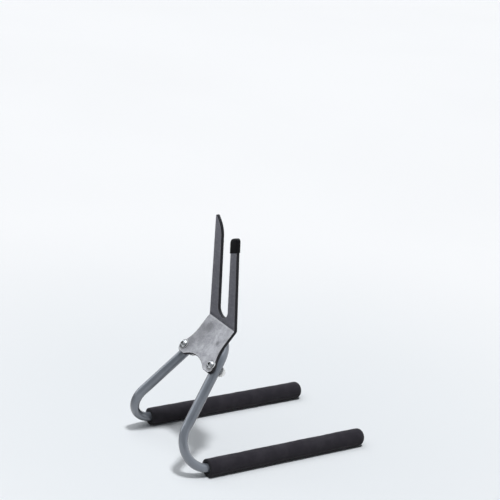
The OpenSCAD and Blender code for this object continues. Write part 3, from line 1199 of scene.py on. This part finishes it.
@dataclass
class FoamSleeve(Part):
    """One rail's foam sleeve: cut square at its mouth, domed at its far end, and flattened on the floor.

    A wave of the mouth is its depth, its number of turns round the sleeve and its phase.
    """

    side: Side
    swell: float = 0.12
    lump: float = 0.16
    skin_waves: int = 14
    waves_sum: float = 3.2
    dome: float = 9.5
    dome_power: float = 2.35
    mouth_round: float = 1.3
    lip_round: float = 0.5
    mouth_least: float = 0.35
    mouth_waves: tuple[Triple, ...] = ((0.35, 1, 0.9), (0.16, 3, 2.0))
    around: int = 112

    def half_section(self) -> tuple[np.ndarray, np.ndarray]:
        """Gives the half section from the middle of the bore's end to the tip of the dome.

        The dome's radius is the sleeve's times (1 - share to the power p) to the power 1/p.

        Returns:
            Points as radius and distance from the mouth, and for each point 1 on the cut end, a half on its
            rounded edge, else 0.
        """
        size = self.sizes
        radius, length, bore = size.sleeve_r + self.swell, size.sleeve_len, size.tube_r + size.foam_fit
        depth = length - size.sleeve_end_wall
        drift = size.rail_bend_r - math.sqrt(size.rail_bend_r**2 - size.bend_cover**2)
        inner = [(0.8, depth), (bore - 0.6, depth)]
        inner += [(bore, y) for y in np.linspace(depth - 0.6, size.bend_cover, 50)]
        inner += [(bore + drift * (1 - y / size.bend_cover), y) for y in (5.0, 3.0, 1.2)]
        turns = [(math.cos(t), math.sin(t)) for t in np.radians(np.linspace(0, 90, 7))]
        lip, wide = bore + drift + self.lip_round, self.mouth_round
        mouth = [(lip - self.lip_round * c, self.lip_round - self.lip_round * s) for c, s in turns]
        face = [(r, 0.0) for r in np.linspace(lip + 0.6, radius - wide - 0.4, 5)]
        edge = [(radius - wide * (1 - s), wide * (1 - c)) for c, s in turns]
        run = [(radius, y) for y in np.linspace(2 * wide, length - self.dome, 190)]
        dome = [(radius * (1 - s**self.dome_power) ** (1 / self.dome_power), length - self.dome * (1 - s))
                for s in np.sin(np.radians(np.linspace(4, 88.5, 26)))]
        cut = [0.0] * len(inner) + [1.0] * (len(mouth) + len(face)) + [0.5] * len(edge)
        points = np.array(inner + mouth + face + edge + run + dome)
        return points, np.array(cut + [0.0] * (len(points) - len(cut)))

    def swells(self, along_y: np.ndarray, angle: np.ndarray) -> np.ndarray:
        """Gives the skin's slow swells.

        Args:
            along_y: distances from the mouth.
            angle: angles round the sleeve.

        Returns:
            The sum of seeded waves, each a sine of the distance plus a whole number of turns of the angle,
            over waves_sum.
        """
        chance = np.random.default_rng(31 + self.side.value)
        total = np.zeros(np.broadcast(along_y, angle).shape)
        for _ in range(self.skin_waves):
            wave, turns, phase = chance.uniform(14, 90), chance.integers(0, 4), chance.uniform(0, 2 * math.pi)
            total += chance.uniform(0.3, 1.0) * np.sin(along_y * 2 * math.pi / wave + turns * angle + phase)
        return total / self.waves_sum

    def build(self) -> bpy.types.Object:
        """Builds the sleeve as one closed surface, bore included.

        Returns:
            The sleeve.
        """
        section, cut = self.half_section()
        rings = turned_rings(section, self.around)
        angle = np.arctan2(rings[..., 1], rings[..., 0])
        radius = np.hypot(rings[..., 0], rings[..., 1])
        outer = np.clip((radius - self.sizes.sleeve_r + 5) / 4, 0, 1)
        grown = radius + self.lump * self.swells(rings[..., 2], angle) * outer
        waves = sum(depth * np.sin(turns * angle + phase) for depth, turns, phase in self.mouth_waves)
        reach = rings[..., 2] + cut[:, None] * (waves + self.mouth_least)
        height = np.maximum(grown * np.sin(angle), -self.sizes.sleeve_r)
        local = np.stack([grown * np.cos(angle), reach, height], -1)
        surface = ringed(local, Ends.POINTS, self.sizes.rail(self.side))
        surface.measures["cut"] = np.append(np.repeat(cut, self.around), [0.0, 0.0])
        word = self.side.word
        sleeve = self.made(surface, f"sleeve_{word}", "foam", f"foam_sleeve_{word}", 60)
        return sleeve


@dataclass
class HubPlate(Part):
    """The plate: one flat blank, cut with rounded edges and folded once between its slope and its fork.

    The blank is laid out flat in X and S. S runs up the slope, is 0 where the fold starts and fold_len where
    it ends, and goes on up the fork. N is the height above the plate's back face.
    """

    edge_r: float = 0.7
    edge_steps: int = 5
    edge_most: float = 8.0
    mesh_step: float = 3.0
    fold_lines: int = 13

    def lug_half(self) -> np.ndarray:
        """Gives the slope's right half.

        Returns:
            Its outline from the middle of the arch to the waist, in slope coordinates.
        """
        size = self.sizes
        inner, outer = (size.screw_x - size.lug_flat, -size.lug_drop), (size.screw_x, -size.lug_drop)
        flare_r = size.meet_r(size.waist_rise + size.lug_drop, size.screw_x - size.fork_w / 2)
        arch_r = size.meet_r(inner[0], size.arch_rise + size.lug_drop)
        arch = (0.0, size.arch_rise - arch_r)
        flare = (size.fork_w / 2 + flare_r, size.waist_rise)
        from_arch = math.degrees(math.atan2(inner[1] - arch[1], inner[0] - arch[0]))
        to_flare = math.degrees(math.atan2(flare[1] - outer[1], flare[0] - outer[0]))
        flat = [(x, y - size.lug_r) for x, y in (inner, outer)]
        return np.vstack([[(0.0, size.arch_rise)], arc(arch, arch_r, 90, from_arch),
                          arc(inner, size.lug_r, from_arch + 180, 270), along(*flat), [flat[1]],
                          arc(outer, size.lug_r, -90, to_flare), arc(flare, flare_r, to_flare + 180, 180)])

    def fork_top(self) -> np.ndarray:
        """Gives the fork's top.

        Returns:
            Its outline from the short prong's outer corner over the slot to the tall prong's tip.
        """
        size = self.sizes
        near_x, far_x = size.slot_shift + size.slot_r, size.slot_shift - size.slot_r
        tip_x = -size.edge_x(size.horn_h)
        outer = (size.edge_x(size.short_prong_h), size.short_prong_h)
        inner = (near_x, size.short_prong_h - (outer[0] - near_x) * size.ramp_rise)
        shoulder = (far_x, size.horn_h - size.horn_shoulder_drop)
        tip_in, tip_out = (tip_x + size.horn_tip_r, size.horn_h), (tip_x, size.horn_h)
        slot_foot = arc((size.slot_shift, size.web_top), size.slot_r, 0, -180)
        runs = [corner((size.edge_x(0), 0), outer, inner, size.short_prong_r),
                corner(outer, inner, (near_x, size.web_top), size.short_prong_r),
                np.vstack([[(near_x, size.web_top)], slot_foot]),
                corner((far_x, size.web_top), shoulder, tip_in, size.horn_shoulder_r),
                corner(shoulder, tip_in, tip_out, size.horn_tip_r / 2),
                corner(tip_in, tip_out, (-size.edge_x(0), 0), size.horn_tip_r / 2)]
        path = [runs[0]]
        for run in runs[1:]:
            path += [along(path[-1][-1], run[0]), run]
        return np.vstack(path)

    def fold_rows(self) -> np.ndarray:
        """Gives the values of S at which the fold is divided."""
        return np.linspace(0, self.sizes.fold_len, self.fold_lines)

    def blank(self) -> np.ndarray:
        """Gives the blank's whole outline.

        Returns:
            Its points in X and S, counter-clockwise.
        """
        size, rows, over = self.sizes, self.fold_rows(), [-1, 1]
        right = self.lug_half() - [0, size.fold_start]
        side = np.stack([np.linspace(size.fork_w / 2, size.edge_x(size.fold_setback), len(rows)), rows], -1)
        top = self.fork_top() + [0, size.fold_len - size.fold_setback]
        up = np.vstack([right, along(right[-1], (size.fork_w / 2, 0.0)), side, along(side[-1], top[0])])
        flip = up[:0:-1] * over
        left = flip[np.where(np.isclose(flip, side[-1] * over).all(1))[0][0]:]
        return np.vstack([up, top, along(top[-1], side[-1] * over), left])

    def placed(self, x: np.ndarray, s: np.ndarray, n: np.ndarray | float) -> np.ndarray:
        """Folds points of the blank.

        Args:
            x: distances from the middle.
            s: distances along the blank.
            n: heights above the back face.

        Returns:
            The points in the screw row's frame. On the fold they turn about a centre that lies fold_r in
            front of the front face: Y is the fold's start plus R sine, and Z is the centre's height less R
            cosine, where R is fold_r plus what is left of the thickness.
        """
        size = self.sizes
        angle = np.clip(s / size.fold_len, 0, 1) * math.radians(size.fold_turn)
        radius = size.fold_r + size.plate_t - n
        beyond = np.maximum(s - size.fold_len, 0) + np.minimum(s, 0)
        y = size.fold_start + radius * np.sin(angle) + beyond * np.cos(angle)
        height = size.plate_t + size.fold_r - radius * np.cos(angle) + beyond * np.sin(angle)
        return np.stack([x, y, height], -1)

    def leaning(self, x: np.ndarray, s: np.ndarray, n: np.ndarray | float, at: np.ndarray) -> np.ndarray:
        """Turns directions of the flat blank with the fold.

        Args:
            x: parts across.
            s: parts along.
            n: parts out of the front.
            at: values of S where the directions hold.

        Returns:
            The directions in the screw row's frame.
        """
        angle = np.clip(at / self.sizes.fold_len, 0, 1) * math.radians(self.sizes.fold_turn)
        return np.stack([x, s * np.cos(angle) - n * np.sin(angle), s * np.sin(angle) + n * np.cos(angle)], -1)

    def holes(self) -> list[np.ndarray]:
        """Gives the two screw holes.

        Returns:
            Their outlines in X and S, clockwise.
        """
        size = self.sizes
        return [arc((side.value * size.screw_x, -size.fold_start), size.hole_r, 0, -360, 0.6)
                for side in Side]

    def within(self, points: np.ndarray, rims: list[np.ndarray]) -> np.ndarray:
        """Tells which points lie inside the outer rim and outside the holes' rims."""
        outer, *holes = (inside(points, rim) for rim in rims)
        return outer & ~np.any(holes, axis=0)

    def face(self, rims: list[np.ndarray]) -> tuple[np.ndarray, np.ndarray]:
        """Fills the flat face between its rims with triangles.

        Args:
            rims: the outer rim, then the holes' rims.

        Returns:
            The face's points, with the rims' points first and in order, and its triangles.
        """
        low, high, rows = rims[0].min(0), rims[0].max(0), self.fold_rows()
        x, s = (np.arange(low[i], high[i], self.mesh_step) for i in range(2))
        s = np.concatenate([s[(s < -1) | (s > rows[-1] + 1)], rows])
        grid = np.stack(np.meshgrid(x, s), -1).reshape(-1, 2)
        near = np.min([least_distance(grid, rim) for rim in rims], axis=0)
        points = np.vstack([*rims, grid[self.within(grid, rims) & (near > 0.45 * self.mesh_step)]])
        edges, base = [], 0
        for rim in rims:
            spot = np.arange(len(rim))
            edges += (base + np.stack([spot, np.roll(spot, -1)], -1)).tolist()
            base += len(rim)
        for row in rows:
            on_row = np.where(np.isclose(points[:, 1], row, atol=1e-6))[0]
            on_row = on_row[np.argsort(points[on_row, 0])]
            edges += np.stack([on_row[:-1], on_row[1:]], -1).tolist()
        found = delaunay_2d_cdt(points.tolist(), edges, [], 0, 1e-7)
        if len(found[0]) != len(points):
            raise ValueError("the plate's outline crosses itself")
        triangles = np.array(found[3])[:, 0][np.array(found[2])]
        return points, triangles[self.within(points[triangles].mean(1), rims)]

    def build(self) -> bpy.types.Object:
        """Builds the plate: front and back face, and a band with rounded edges round each rim.

        At the back edge an angle goes from 0 to a quarter turn: the band goes out by edge_r times its sine,
        and forward by edge_r times (1 - its cosine). The front edge mirrors the back edge.

        Returns:
            The plate.
        """
        size, r = self.sizes, self.edge_r
        rims = [self.blank(), *self.holes()]
        flat_rims = [rim - r * outline_normals(rim) for rim in rims]
        face, triangles = self.face(flat_rims)
        turn = np.radians(np.linspace(0, 90, self.edge_steps + 1))
        out = np.concatenate([np.sin(turn), np.cos(turn)])[:, None]
        high = np.concatenate([r - r * np.cos(turn), size.plate_t - r + r * np.sin(turn)])[:, None]
        lift = np.concatenate([-np.cos(turn), np.sin(turn)])[:, None]
        points, leans, faces, edge, rise, base = [], [], [], [], [], 0
        shared = [[], []]
        for rim, flat in zip(rims, flat_rims):
            across, ahead = outline_normals(rim).T
            x, s = flat[:, 0] + r * out * across, flat[:, 1] + r * out * ahead
            points.append(self.placed(x, s, high).reshape(-1, 3))
            leans.append(self.leaning(out * across, out * ahead, lift, flat[:, 1]).reshape(-1, 3))
            edge.append(np.repeat(np.where(out > 0, 0.0, 0.2), len(rim)))
            rise.append(np.tile(flat[:, 1], len(out)))
            faces += (ring_faces(len(out), len(rim)) + base).tolist()
            for numbers, level in zip(shared, (0, len(out) - 1)):
                numbers.append(base + level * len(rim) + np.arange(len(rim)))
            base += len(out) * len(rim)
        inner = face[sum(len(rim) for rim in rims):]
        far = np.min([least_distance(inner, rim) for rim in rims], axis=0)
        for numbers, n, up in zip(shared, (0.0, size.plate_t), (-1, 1)):
            number = np.concatenate([*numbers, base + np.arange(len(inner))])
            points.append(self.placed(inner[:, 0], inner[:, 1], n))
            leans.append(self.leaning(0 * far, 0 * far, up, inner[:, 1]))
            edge.append(np.minimum(far, self.edge_most))
            rise.append(inner[:, 1])
            base += len(inner)
            # The back face looks down, so its triangles run the other way round.
            faces += number[triangles[:, ::up]].tolist()
        place = size.screw_row()
        surface = Surface(place.points(np.vstack(points)), faces, place.directions(np.vstack(leans)),
                          {"edge": np.concatenate(edge), "rise": np.concatenate(rise)}).turned_out()
        return self.made(surface, "plate", "plate_paint", "hub_plate")


@dataclass
class ProngCap(Part):
    """The soft cap dipped over the short prong: a hollow sheath with a rolled mouth and rounded top."""

    skin_bulge: float = 0.045
    edge_r: float = 1.5
    draw: float = 0.92
    bend_share: float = 1.05
    corner_steps: int = 9
    near_top: tuple[float, ...] = (0.34, 0.28, 0.22, 0.17, 0.125, 0.09, 0.06, 0.035, 0.018, 0.007, 0.0012)

    def section(self, width: float, depth: float, radius: float) -> np.ndarray:
        """Gives one rounded rectangle about its middle.

        Args:
            width: its size across the prong.
            depth: its size through the prong.
            radius: rounding of its corners, cut down to fit.

        Returns:
            Points, counter-clockwise, the same number to each corner.
        """
        r = max(0.02, min(radius, width / 2 - 0.01, depth / 2 - 0.01))
        turn = np.radians(np.linspace(0, 90, self.corner_steps))
        corners = []
        for quarter, (sx, sy) in enumerate(((1, 1), (-1, 1), (-1, -1), (1, -1))):
            angle = turn + quarter * math.pi / 2
            corners.append(np.stack([sx * (width / 2 - r) + r * np.cos(angle),
                                     sy * (depth / 2 - r) + r * np.sin(angle)], -1))
        return np.vstack(corners)

    def sheath(self, grow: float, edge: float, heights: np.ndarray) -> np.ndarray:
        """Gives the rings of a sheath round the prong.

        Args:
            grow: distance from the prong.
            edge: rounding of the sheath's long edges and of its top.
            heights: heights of the rings at the prong's outer edge, as shares from the mouth to the top.

        Returns:
            Rings in the fork's frame. Every ring slants with the prong's top, and near the top it draws in as
            a circle's side does: by c less the root of (c squared less (c less what is left) squared).
        """
        size = self.sizes
        mouth = size.short_prong_h - size.cap_len
        slant = math.cos(math.radians(size.short_prong_ramp))
        top = size.short_prong_h + grow / slant + grow * size.ramp_rise
        bend = (size.short_prong_r + grow) * self.bend_share
        rings = []
        for h in mouth + heights * (top - mouth):
            draw, thin = (c - math.sqrt(max(c**2 - max(c - (top - h), 0) ** 2, 0)) for c in (bend, edge))
            outer = size.edge_x(h) + grow - draw * self.draw
            inner = size.slot_shift + size.slot_r - grow + draw * self.draw
            flat = self.section(outer - inner, size.plate_t + 2 * grow - 2 * thin, edge)
            x = flat[:, 0] + (outer + inner) / 2
            y = h - (size.edge_x(h) + grow - x) * size.ramp_rise
            rings.append(np.stack([x, y, flat[:, 1] - size.plate_t / 2], -1))
        return np.array(rings)

    def lip(self) -> list[np.ndarray]:
        """Gives the rolled lip.

        Returns:
            Its rings, from the inner side down round the mouth's edge to the outer side.
        """
        size, rings = self.sizes, []
        for angle in np.radians(np.linspace(200, 340, 7)):
            grow = size.cap_fit + size.cap_wall / 2 * (1 + 1.25 * math.cos(angle))
            ring = self.sheath(grow, 0.9, np.array([0.0]))[0]
            rings.append(ring + [0, 0.5 + 0.6 * math.sin(angle), 0])
        return rings

    def build(self) -> bpy.types.Object:
        """Builds the cap: up the inside from its top to the mouth, round the rolled lip and up the outside.

        Returns:
            The cap.
        """
        size = self.sizes
        run = np.concatenate([np.linspace(0.06, 0.6, 9), 1 - np.array(self.near_top)])
        bore = self.sheath(size.cap_fit, 0.3, np.concatenate([[0.03], run]))[::-1]
        outside = self.sheath(size.cap_wall + size.cap_fit, self.edge_r, run)
        bulge = 1 + np.sin(np.linspace(0, 3.1, len(run)))[:, None] * self.skin_bulge
        outside[..., 2] = -size.plate_t / 2 + (outside[..., 2] + size.plate_t / 2) * bulge
        surface = ringed(np.concatenate([bore, self.lip(), outside]), Ends.POINTS, size.fork_plane())
        return self.made(surface, "prong_cover", "cap_vinyl", "prong_cap", 50)


@dataclass
class ScrewSet(Part):
    """One button-head screw with its two washers and lock nut, through a lug and a leg.

    Each is turned about the screw's axis from rows: radius, height and how hollow the part is there. A
    radius or height is a number, or an array that varies round the ring.
    """

    side: Side
    pitch: float = 1.25
    thread_depth: float = 0.58
    around: int = 72
    washer_around: int = 96
    recess_spin: Flat = (11, 37)
    nut_spin: Flat = (20, 30)

    def hexagon(self, across: float, spins: Flat) -> np.ndarray:
        """Gives the radius of a hexagon at each angle of a ring.

        Args:
            across: width across its flats.
            spins: turn of the left and of the right set's hexagon, in degrees.

        Returns:
            Half the width over the cosine of the angle from the nearest flat's middle.
        """
        left, right = spins
        spin = math.radians(left if self.side is Side.LEFT else right)
        angle = np.arange(self.around) * 2 * math.pi / self.around + spin
        return across / 2 / np.cos(np.mod(angle, math.pi / 3) - math.pi / 6)

    def turned(self, rows: list[Row], ends: Ends, height: float, around: int) -> Surface:
        """Turns rows about the screw's axis.

        Args:
            rows: the rows.
            ends: how the first and last ring are closed.
            height: where the rows' height 0 lies above the leg's centre line.
            around: points in each ring.

        Returns:
            The surface, which carries how hollow it is.
        """
        angle = np.arange(around) * 2 * math.pi / around
        rings = [np.stack([r * np.cos(angle), r * np.sin(angle), h + 0 * angle], -1) for r, h, _ in rows]
        surface = ringed(np.array(rings), ends, self.sizes.screw_axis(self.side).moved(0, 0, height))
        hollow = np.repeat([row[2] for row in rows], around)
        surface.measures["hollow"] = np.append(hollow, [1.0, 0.0] if ends is Ends.POINTS else [])
        return surface

    def dome(self, radius: np.ndarray | float) -> np.ndarray | float:
        """Gives the height of the head's dome.

        Args:
            radius: distance from the axis.

        Returns:
            The height there of the sphere through the head's top and its rim.
        """
        size = self.sizes
        drop = size.head_h - size.head_rim_h
        ball = ((size.head_d / 2) ** 2 + drop**2) / (2 * drop)
        return size.head_h - ball + np.sqrt(ball**2 - np.square(radius))

    def head(self) -> list[Row]:
        """Gives the rows of the screw's head.

        Returns:
            The rows of its hexagon recess, dome, rounded rim and underside.
        """
        size = self.sizes
        recess, floor = self.hexagon(size.recess_af, self.recess_spin), size.head_h - size.recess_depth
        rim, edge = recess + 0.28, size.head_d / 2
        top, low = self.dome(rim), float(self.dome(edge - 0.25))
        rows = [(0.3 * recess, floor - 0.5, 1.0), (0.96 * recess, floor, 1.0), (recess, floor + 0.1, 1.0),
                (recess, top - 0.4, 0.7), (recess + 0.05, top - 0.15, 0.3), (rim, top, 0.0)]
        domed = [rim * (1 - share) + (edge - 0.25) * share for share in np.linspace(0.12, 1, 12)]
        rows += [(r, self.dome(r), 0.0) for r in domed]
        rows += [(edge - 0.25 + 0.25 * math.sin(turn), low - 0.3 * (1 - math.cos(turn)), hollow)
                 for turn, hollow in zip(np.radians([30, 60, 90]), (0.0, 0.25, 0.8))]
        return rows + [(edge, 0.2, 1.0), (edge - 0.12, 0.05, 1.0), (edge - 0.3, 0.0, 1.0)]

    def screw(self) -> Surface:
        """Builds the screw from its recess over the head and down the shank to the tip of its thread.

        The thread's radius is cut by its depth times one less a clipped triangle wave of height and angle.

        Returns:
            The screw.
        """
        size = self.sizes
        smooth, shank_r = size.tube_r + size.plate_t + size.washer_t, size.screw_d / 2
        tip = -(smooth + size.tube_r + size.washer_t + size.nut_h + size.nut_collar_h + size.screw_tail)
        rows = self.head() + [(shank_r + 0.3, 0.0, 1.0), (shank_r, -0.3, 0.0), (shank_r, -smooth, 0.0)]
        turn = np.arange(self.around) / self.around
        for height in np.arange(-smooth - 0.3, tip + 1.2, -self.pitch / 10):
            wave = np.abs(np.mod(height / self.pitch + turn, 1) * 2 - 1)
            cut = self.thread_depth * (1 - np.clip(wave * 1.25 - 0.1, 0, 1))
            rows.append((shank_r - 0.02 - cut, height, 0.12))
        rows += [(shank_r - 0.6, tip + 0.7, 0.0), (shank_r - 1.2, tip + 0.05, 0.0), (1.0, tip, 0.0)]
        return self.turned(rows, Ends.POINTS, smooth, self.around)

    def washer(self, height: float, covered: float) -> Surface:
        """Builds a washer: flat, with its outer edge rolled over.

        Args:
            height: height of its underside.
            covered: radius within which the washer is painted dark as the head's shade.

        Returns:
            The washer.
        """
        size = self.sizes
        outer, inner, t = size.washer_d / 2, size.hole_r, size.washer_t
        section = [(inner, t / 2), (inner, 0.15), (inner + 0.15, 0), ((inner + outer) / 2, 0),
                   (outer - 0.12, 0), (outer, 0.12), (outer, t / 2), (outer, t - 0.45),
                   (outer - 0.13, t - 0.14), (outer - 0.42, t), (outer - 0.8, t),
                   (size.head_d / 2 - 0.05, t), (inner + 0.25, t), (inner, t - 0.2)]
        # Inside the covered radius the washer is painted dark as the head's shade.
        rows = [(r, h, float(r < covered)) for r, h in section]
        return self.turned(rows, Ends.JOINED, height, self.washer_around)

    def nut(self) -> Surface:
        """Builds the lock nut: a chamfered hexagon with a round collar.

        The chamfer falls by the tangent of its angle times what the hexagon is wider than its flats.

        Returns:
            The nut.
        """
        size = self.sizes
        hexagon, bore = self.hexagon(size.nut_af, self.nut_spin), size.screw_d / 2 + 0.06
        flat_r, collar = size.nut_af / 2 * 0.985, size.nut_af / 2 - size.nut_collar_inset
        fall = (hexagon - flat_r) * math.tan(math.radians(size.nut_chamfer))
        low, tall = -size.nut_h, -(size.nut_h + size.nut_collar_h)
        rows = [(bore, tall / 2, 0.6), (bore, -0.4, 0.3), (bore + 0.5, 0.0, 0.0), (flat_r, 0.0, 0.0),
                (hexagon, -fall * 0.5, 0.0), (hexagon, low + fall, 0.0), (flat_r, low, 0.0),
                (collar + 0.2, low, 0.0), (collar, low - 0.2, 0.0), (collar, tall + 0.35, 0.0),
                (collar - 0.15, tall + 0.12, 0.0), (collar - 0.45, tall, 0.0), (bore + 0.5, tall, 0.2),
                (bore, tall + 0.3, 0.5)]
        return self.turned(rows, Ends.JOINED, -size.tube_r - size.washer_t, self.around)

    def build(self) -> list[bpy.types.Object]:
        """Builds the set.

        Returns:
            The screw, the washer under its head, the washer at the back and the nut.
        """
        size, word = self.sizes, self.side.word
        under_head = self.washer(size.tube_r + size.plate_t, size.washer_d / 2 - 0.3)
        under_nut = self.washer(-size.tube_r - size.washer_t, 0.0)
        pieces = [(self.screw(), "button_screw", "screw", "screw_chrome", 40),
                  (under_head, "head_washer", "front_washer", "washer_steel", 50),
                  (under_nut, "nut_washer", "back_washer", "washer_steel", 50),
                  (self.nut(), "hex_nut", "lock_nut", "nut_steel", 28)]
        return [self.made(surface, f"{name}_{word}", slot, f"{node}_{word}", crease)
                for surface, name, node, slot, crease in pieces]


# Floor, light and camera


@dataclass(frozen=True)
class Studio:
    """Pale floor, a sky that is mirrored with bright places, two lamps nearly overhead, and the camera.

    A bright place is its direction, the part along it where the sky starts to brighten and the part where it
    is brightest, and its brightness. A lamp is its name, strength, width in degrees and direction. Lengths
    are in metres, but the sensor's width is in millimetres and the focal length in widths of the sensor.
    """

    white: Triple = (0.915, 0.928, 0.948)
    # Colour of the painted shadow on the floor near the stand.
    beside: Triple = (0.8, 0.835, 0.868)
    beside_reach: Flat = (0.12, 1.1)
    floor_r: float = 14
    floor_sides: int = 96
    bounce: float = 0.475
    # A painted shadow on the floor, seen only in reflections.
    dark_spot: Triple = (-0.57, -0.43, 0.0)
    dark_reach: Flat = (0.3, 0.62)
    mirrored_floor: Flat = (0.145, 0.91)
    sky: Triple = (0.94, 0.97, 1.0)
    ambient: float = 0.12
    mirrored_least: float = 0.3
    bright: tuple[tuple[Triple, float, float, float], ...] = (
        ((-0.9, -0.12, 0.42), 0.35, 0.85, 1.42),
        ((0.45, 0.88, 0.12), 0.35, 0.9, 0.9),
        ((0.0, 0.25, 0.97), 0.74, 0.9, 2.6))
    window_row: Triple = (-1.5, 11.0, 2.0)
    bands: Flat = (0.3, 1.5)
    lamps: tuple[tuple[str, float, float, Triple], ...] = (
        ("wide", 1.2, 70, (-0.12, -0.34, 1.0)),
        ("key", 1.8, 8, (0.25, -0.03, 1.0)))
    sensor: float = 36
    focal: float = 1508.983 / 500
    eye: Triple = (1.84006, -1.24669, 1.12760)
    azimuth: float = 56.39
    elevation: float = 19.884
    roll: float = 5.742
    farthest: float = 60

    def floor(self) -> None:
        """Lays the floor: pale, with painted shadows: near the stand where seen, and one darker part where
        mirrored.
        """
        s = Shader("floor_pale")
        s.tree.nodes.remove(s.surface)
        tone = s.ramp(s.noise(900, 2, 0.5), 0.3, 0.7, 0.985, 1.0)
        away = s.distance(s.coords, (0.0, 0.0, 0.0))
        # Painted shadow: the floor as seen turns darker and bluer towards the stand.
        seen = s.blend(s.ramp(away, *self.beside_reach), self.beside, self.white)
        # Painted shadow seen only in reflections, round the dark spot.
        near = s.ramp(s.distance(s.coords, self.dark_spot), *self.dark_reach, *self.mirrored_floor)
        shade = s.by_ray("ShaderNodeBsdfDiffuse", {
            "": {0: (*(v * self.bounce for v in self.white), 1.0)},
            "Is Glossy Ray": {0: s.blend(1.0, self.white, near, "MULTIPLY")},
            "Is Camera Ray": {0: s.blend(1.0, seen, tone, "MULTIPLY")}})
        s.tree.links.new(shade, s.out.inputs[0])
        angle = np.linspace(0, 2 * math.pi, self.floor_sides + 1)[:-1]
        rim = np.stack([self.floor_r * np.cos(angle), self.floor_r * np.sin(angle), 0 * angle], -1)
        mesh = bpy.data.meshes.new("floor")
        mesh.from_pydata(rim.tolist(), [], [list(range(self.floor_sides))])
        mesh.materials.append(s.material)
        thing = bpy.data.objects.new("floor", mesh)
        bpy.context.scene.collection.objects.link(thing)

    def light(self) -> None:
        """Sets an even sky and the lamps.

        Mirrored, the sky is bright on the left, at the back and overhead, and the left is split into soft
        upright bands, as a row of windows does: times a softened sine of the direction's part along the row.
        """
        world = bpy.data.worlds.new("sky")
        bpy.context.scene.world = world
        world.use_nodes = True
        s = Nodes(world.node_tree)
        way = s.add("ShaderNodeTexCoord").outputs["Generated"]
        share, *others = (s.ramp(s.part_along(way, axis), low, high, self.mirrored_least, most)
                          for axis, low, high, most in self.bright)
        wave = s.maths("SINE", s.part_along(way, self.window_row))
        share = s.times(share, s.ramp(wave, -0.35, 0.2, *self.bands))
        for other in others:
            share = s.greater(share, other)
        sky = (*self.sky, 1.0)
        shade = s.by_ray("ShaderNodeBackground", {
            "": {0: sky, 1: self.ambient},
            "Is Glossy Ray": {0: sky, 1: share},
            "Is Camera Ray": {0: (*self.white, 1.0), 1: 1.0}})
        s.add("ShaderNodeOutputWorld", {0: shade})
        for lamp in self.lamps:
            self.lamp(*lamp)

    def lamp(self, name: str, energy: float, width: float, towards: Triple) -> None:
        """Adds a distant soft lamp that no surface mirrors.

        Args:
            name: its name.
            energy: its strength.
            width: how wide it looks from the stand, in degrees.
            towards: direction from the stand to the lamp.
        """
        lamp = bpy.data.lights.new(name, "SUN")
        lamp.energy = energy
        lamp.angle = math.radians(width)
        back = np.array(towards) / np.linalg.norm(towards)
        side = np.cross([0, 1, 0], back)
        side /= np.linalg.norm(side)
        thing = bpy.data.objects.new(name, lamp)
        thing.matrix_world = Matrix(np.column_stack([side, np.cross(back, side), back]).tolist()).to_4x4()
        thing.visible_glossy = False
        bpy.context.scene.collection.objects.link(thing)

    def camera(self) -> None:
        """Places the camera, whose back points by azimuth and elevation, and rolls it about that line."""
        a, e, r = (math.radians(v) for v in (self.azimuth, self.elevation, self.roll))
        back = np.array([math.sin(a) * math.cos(e), -math.cos(a) * math.cos(e), math.sin(e)])
        right = np.cross(-back, [0, 0, 1])
        right /= np.linalg.norm(right)
        up = np.cross(right, -back)
        lens = bpy.data.cameras.new("camera")
        lens.sensor_width = self.sensor
        lens.lens = self.focal * self.sensor
        lens.clip_end = self.farthest
        axes = [right * math.cos(r) + up * math.sin(r), up * math.cos(r) - right * math.sin(r), back]
        matrix = Matrix(np.column_stack(axes).tolist()).to_4x4()
        matrix.translation = self.eye
        thing = bpy.data.objects.new("camera", lens)
        thing.matrix_world = matrix
        bpy.context.scene.collection.objects.link(thing)
        bpy.context.scene.camera = thing

    def build(self) -> None:
        """Sets up the whole studio, with plain colours."""
        self.floor()
        self.light()
        self.camera()
        bpy.context.scene.view_settings.view_transform = "Standard"


def main() -> None:
    """Builds the stand piece by piece, then its studio."""
    logging.basicConfig(level=logging.INFO, format="%(name)s: %(message)s")
    sizes, finishes = StandSizes(), Finishes()
    LOG.info("built %s", BentTube(sizes, finishes).build().name)
    for side in Side:
        LOG.info("built %s", FoamSleeve(sizes, finishes, side).build().name)
    LOG.info("built %s", HubPlate(sizes, finishes).build().name)
    LOG.info("built %s", ProngCap(sizes, finishes).build().name)
    for side in Side:
        LOG.info("built %s", ", ".join(p.name for p in ScrewSet(sizes, finishes, side).build()))
    Studio().build()


if __name__ == "__main__":
    main()
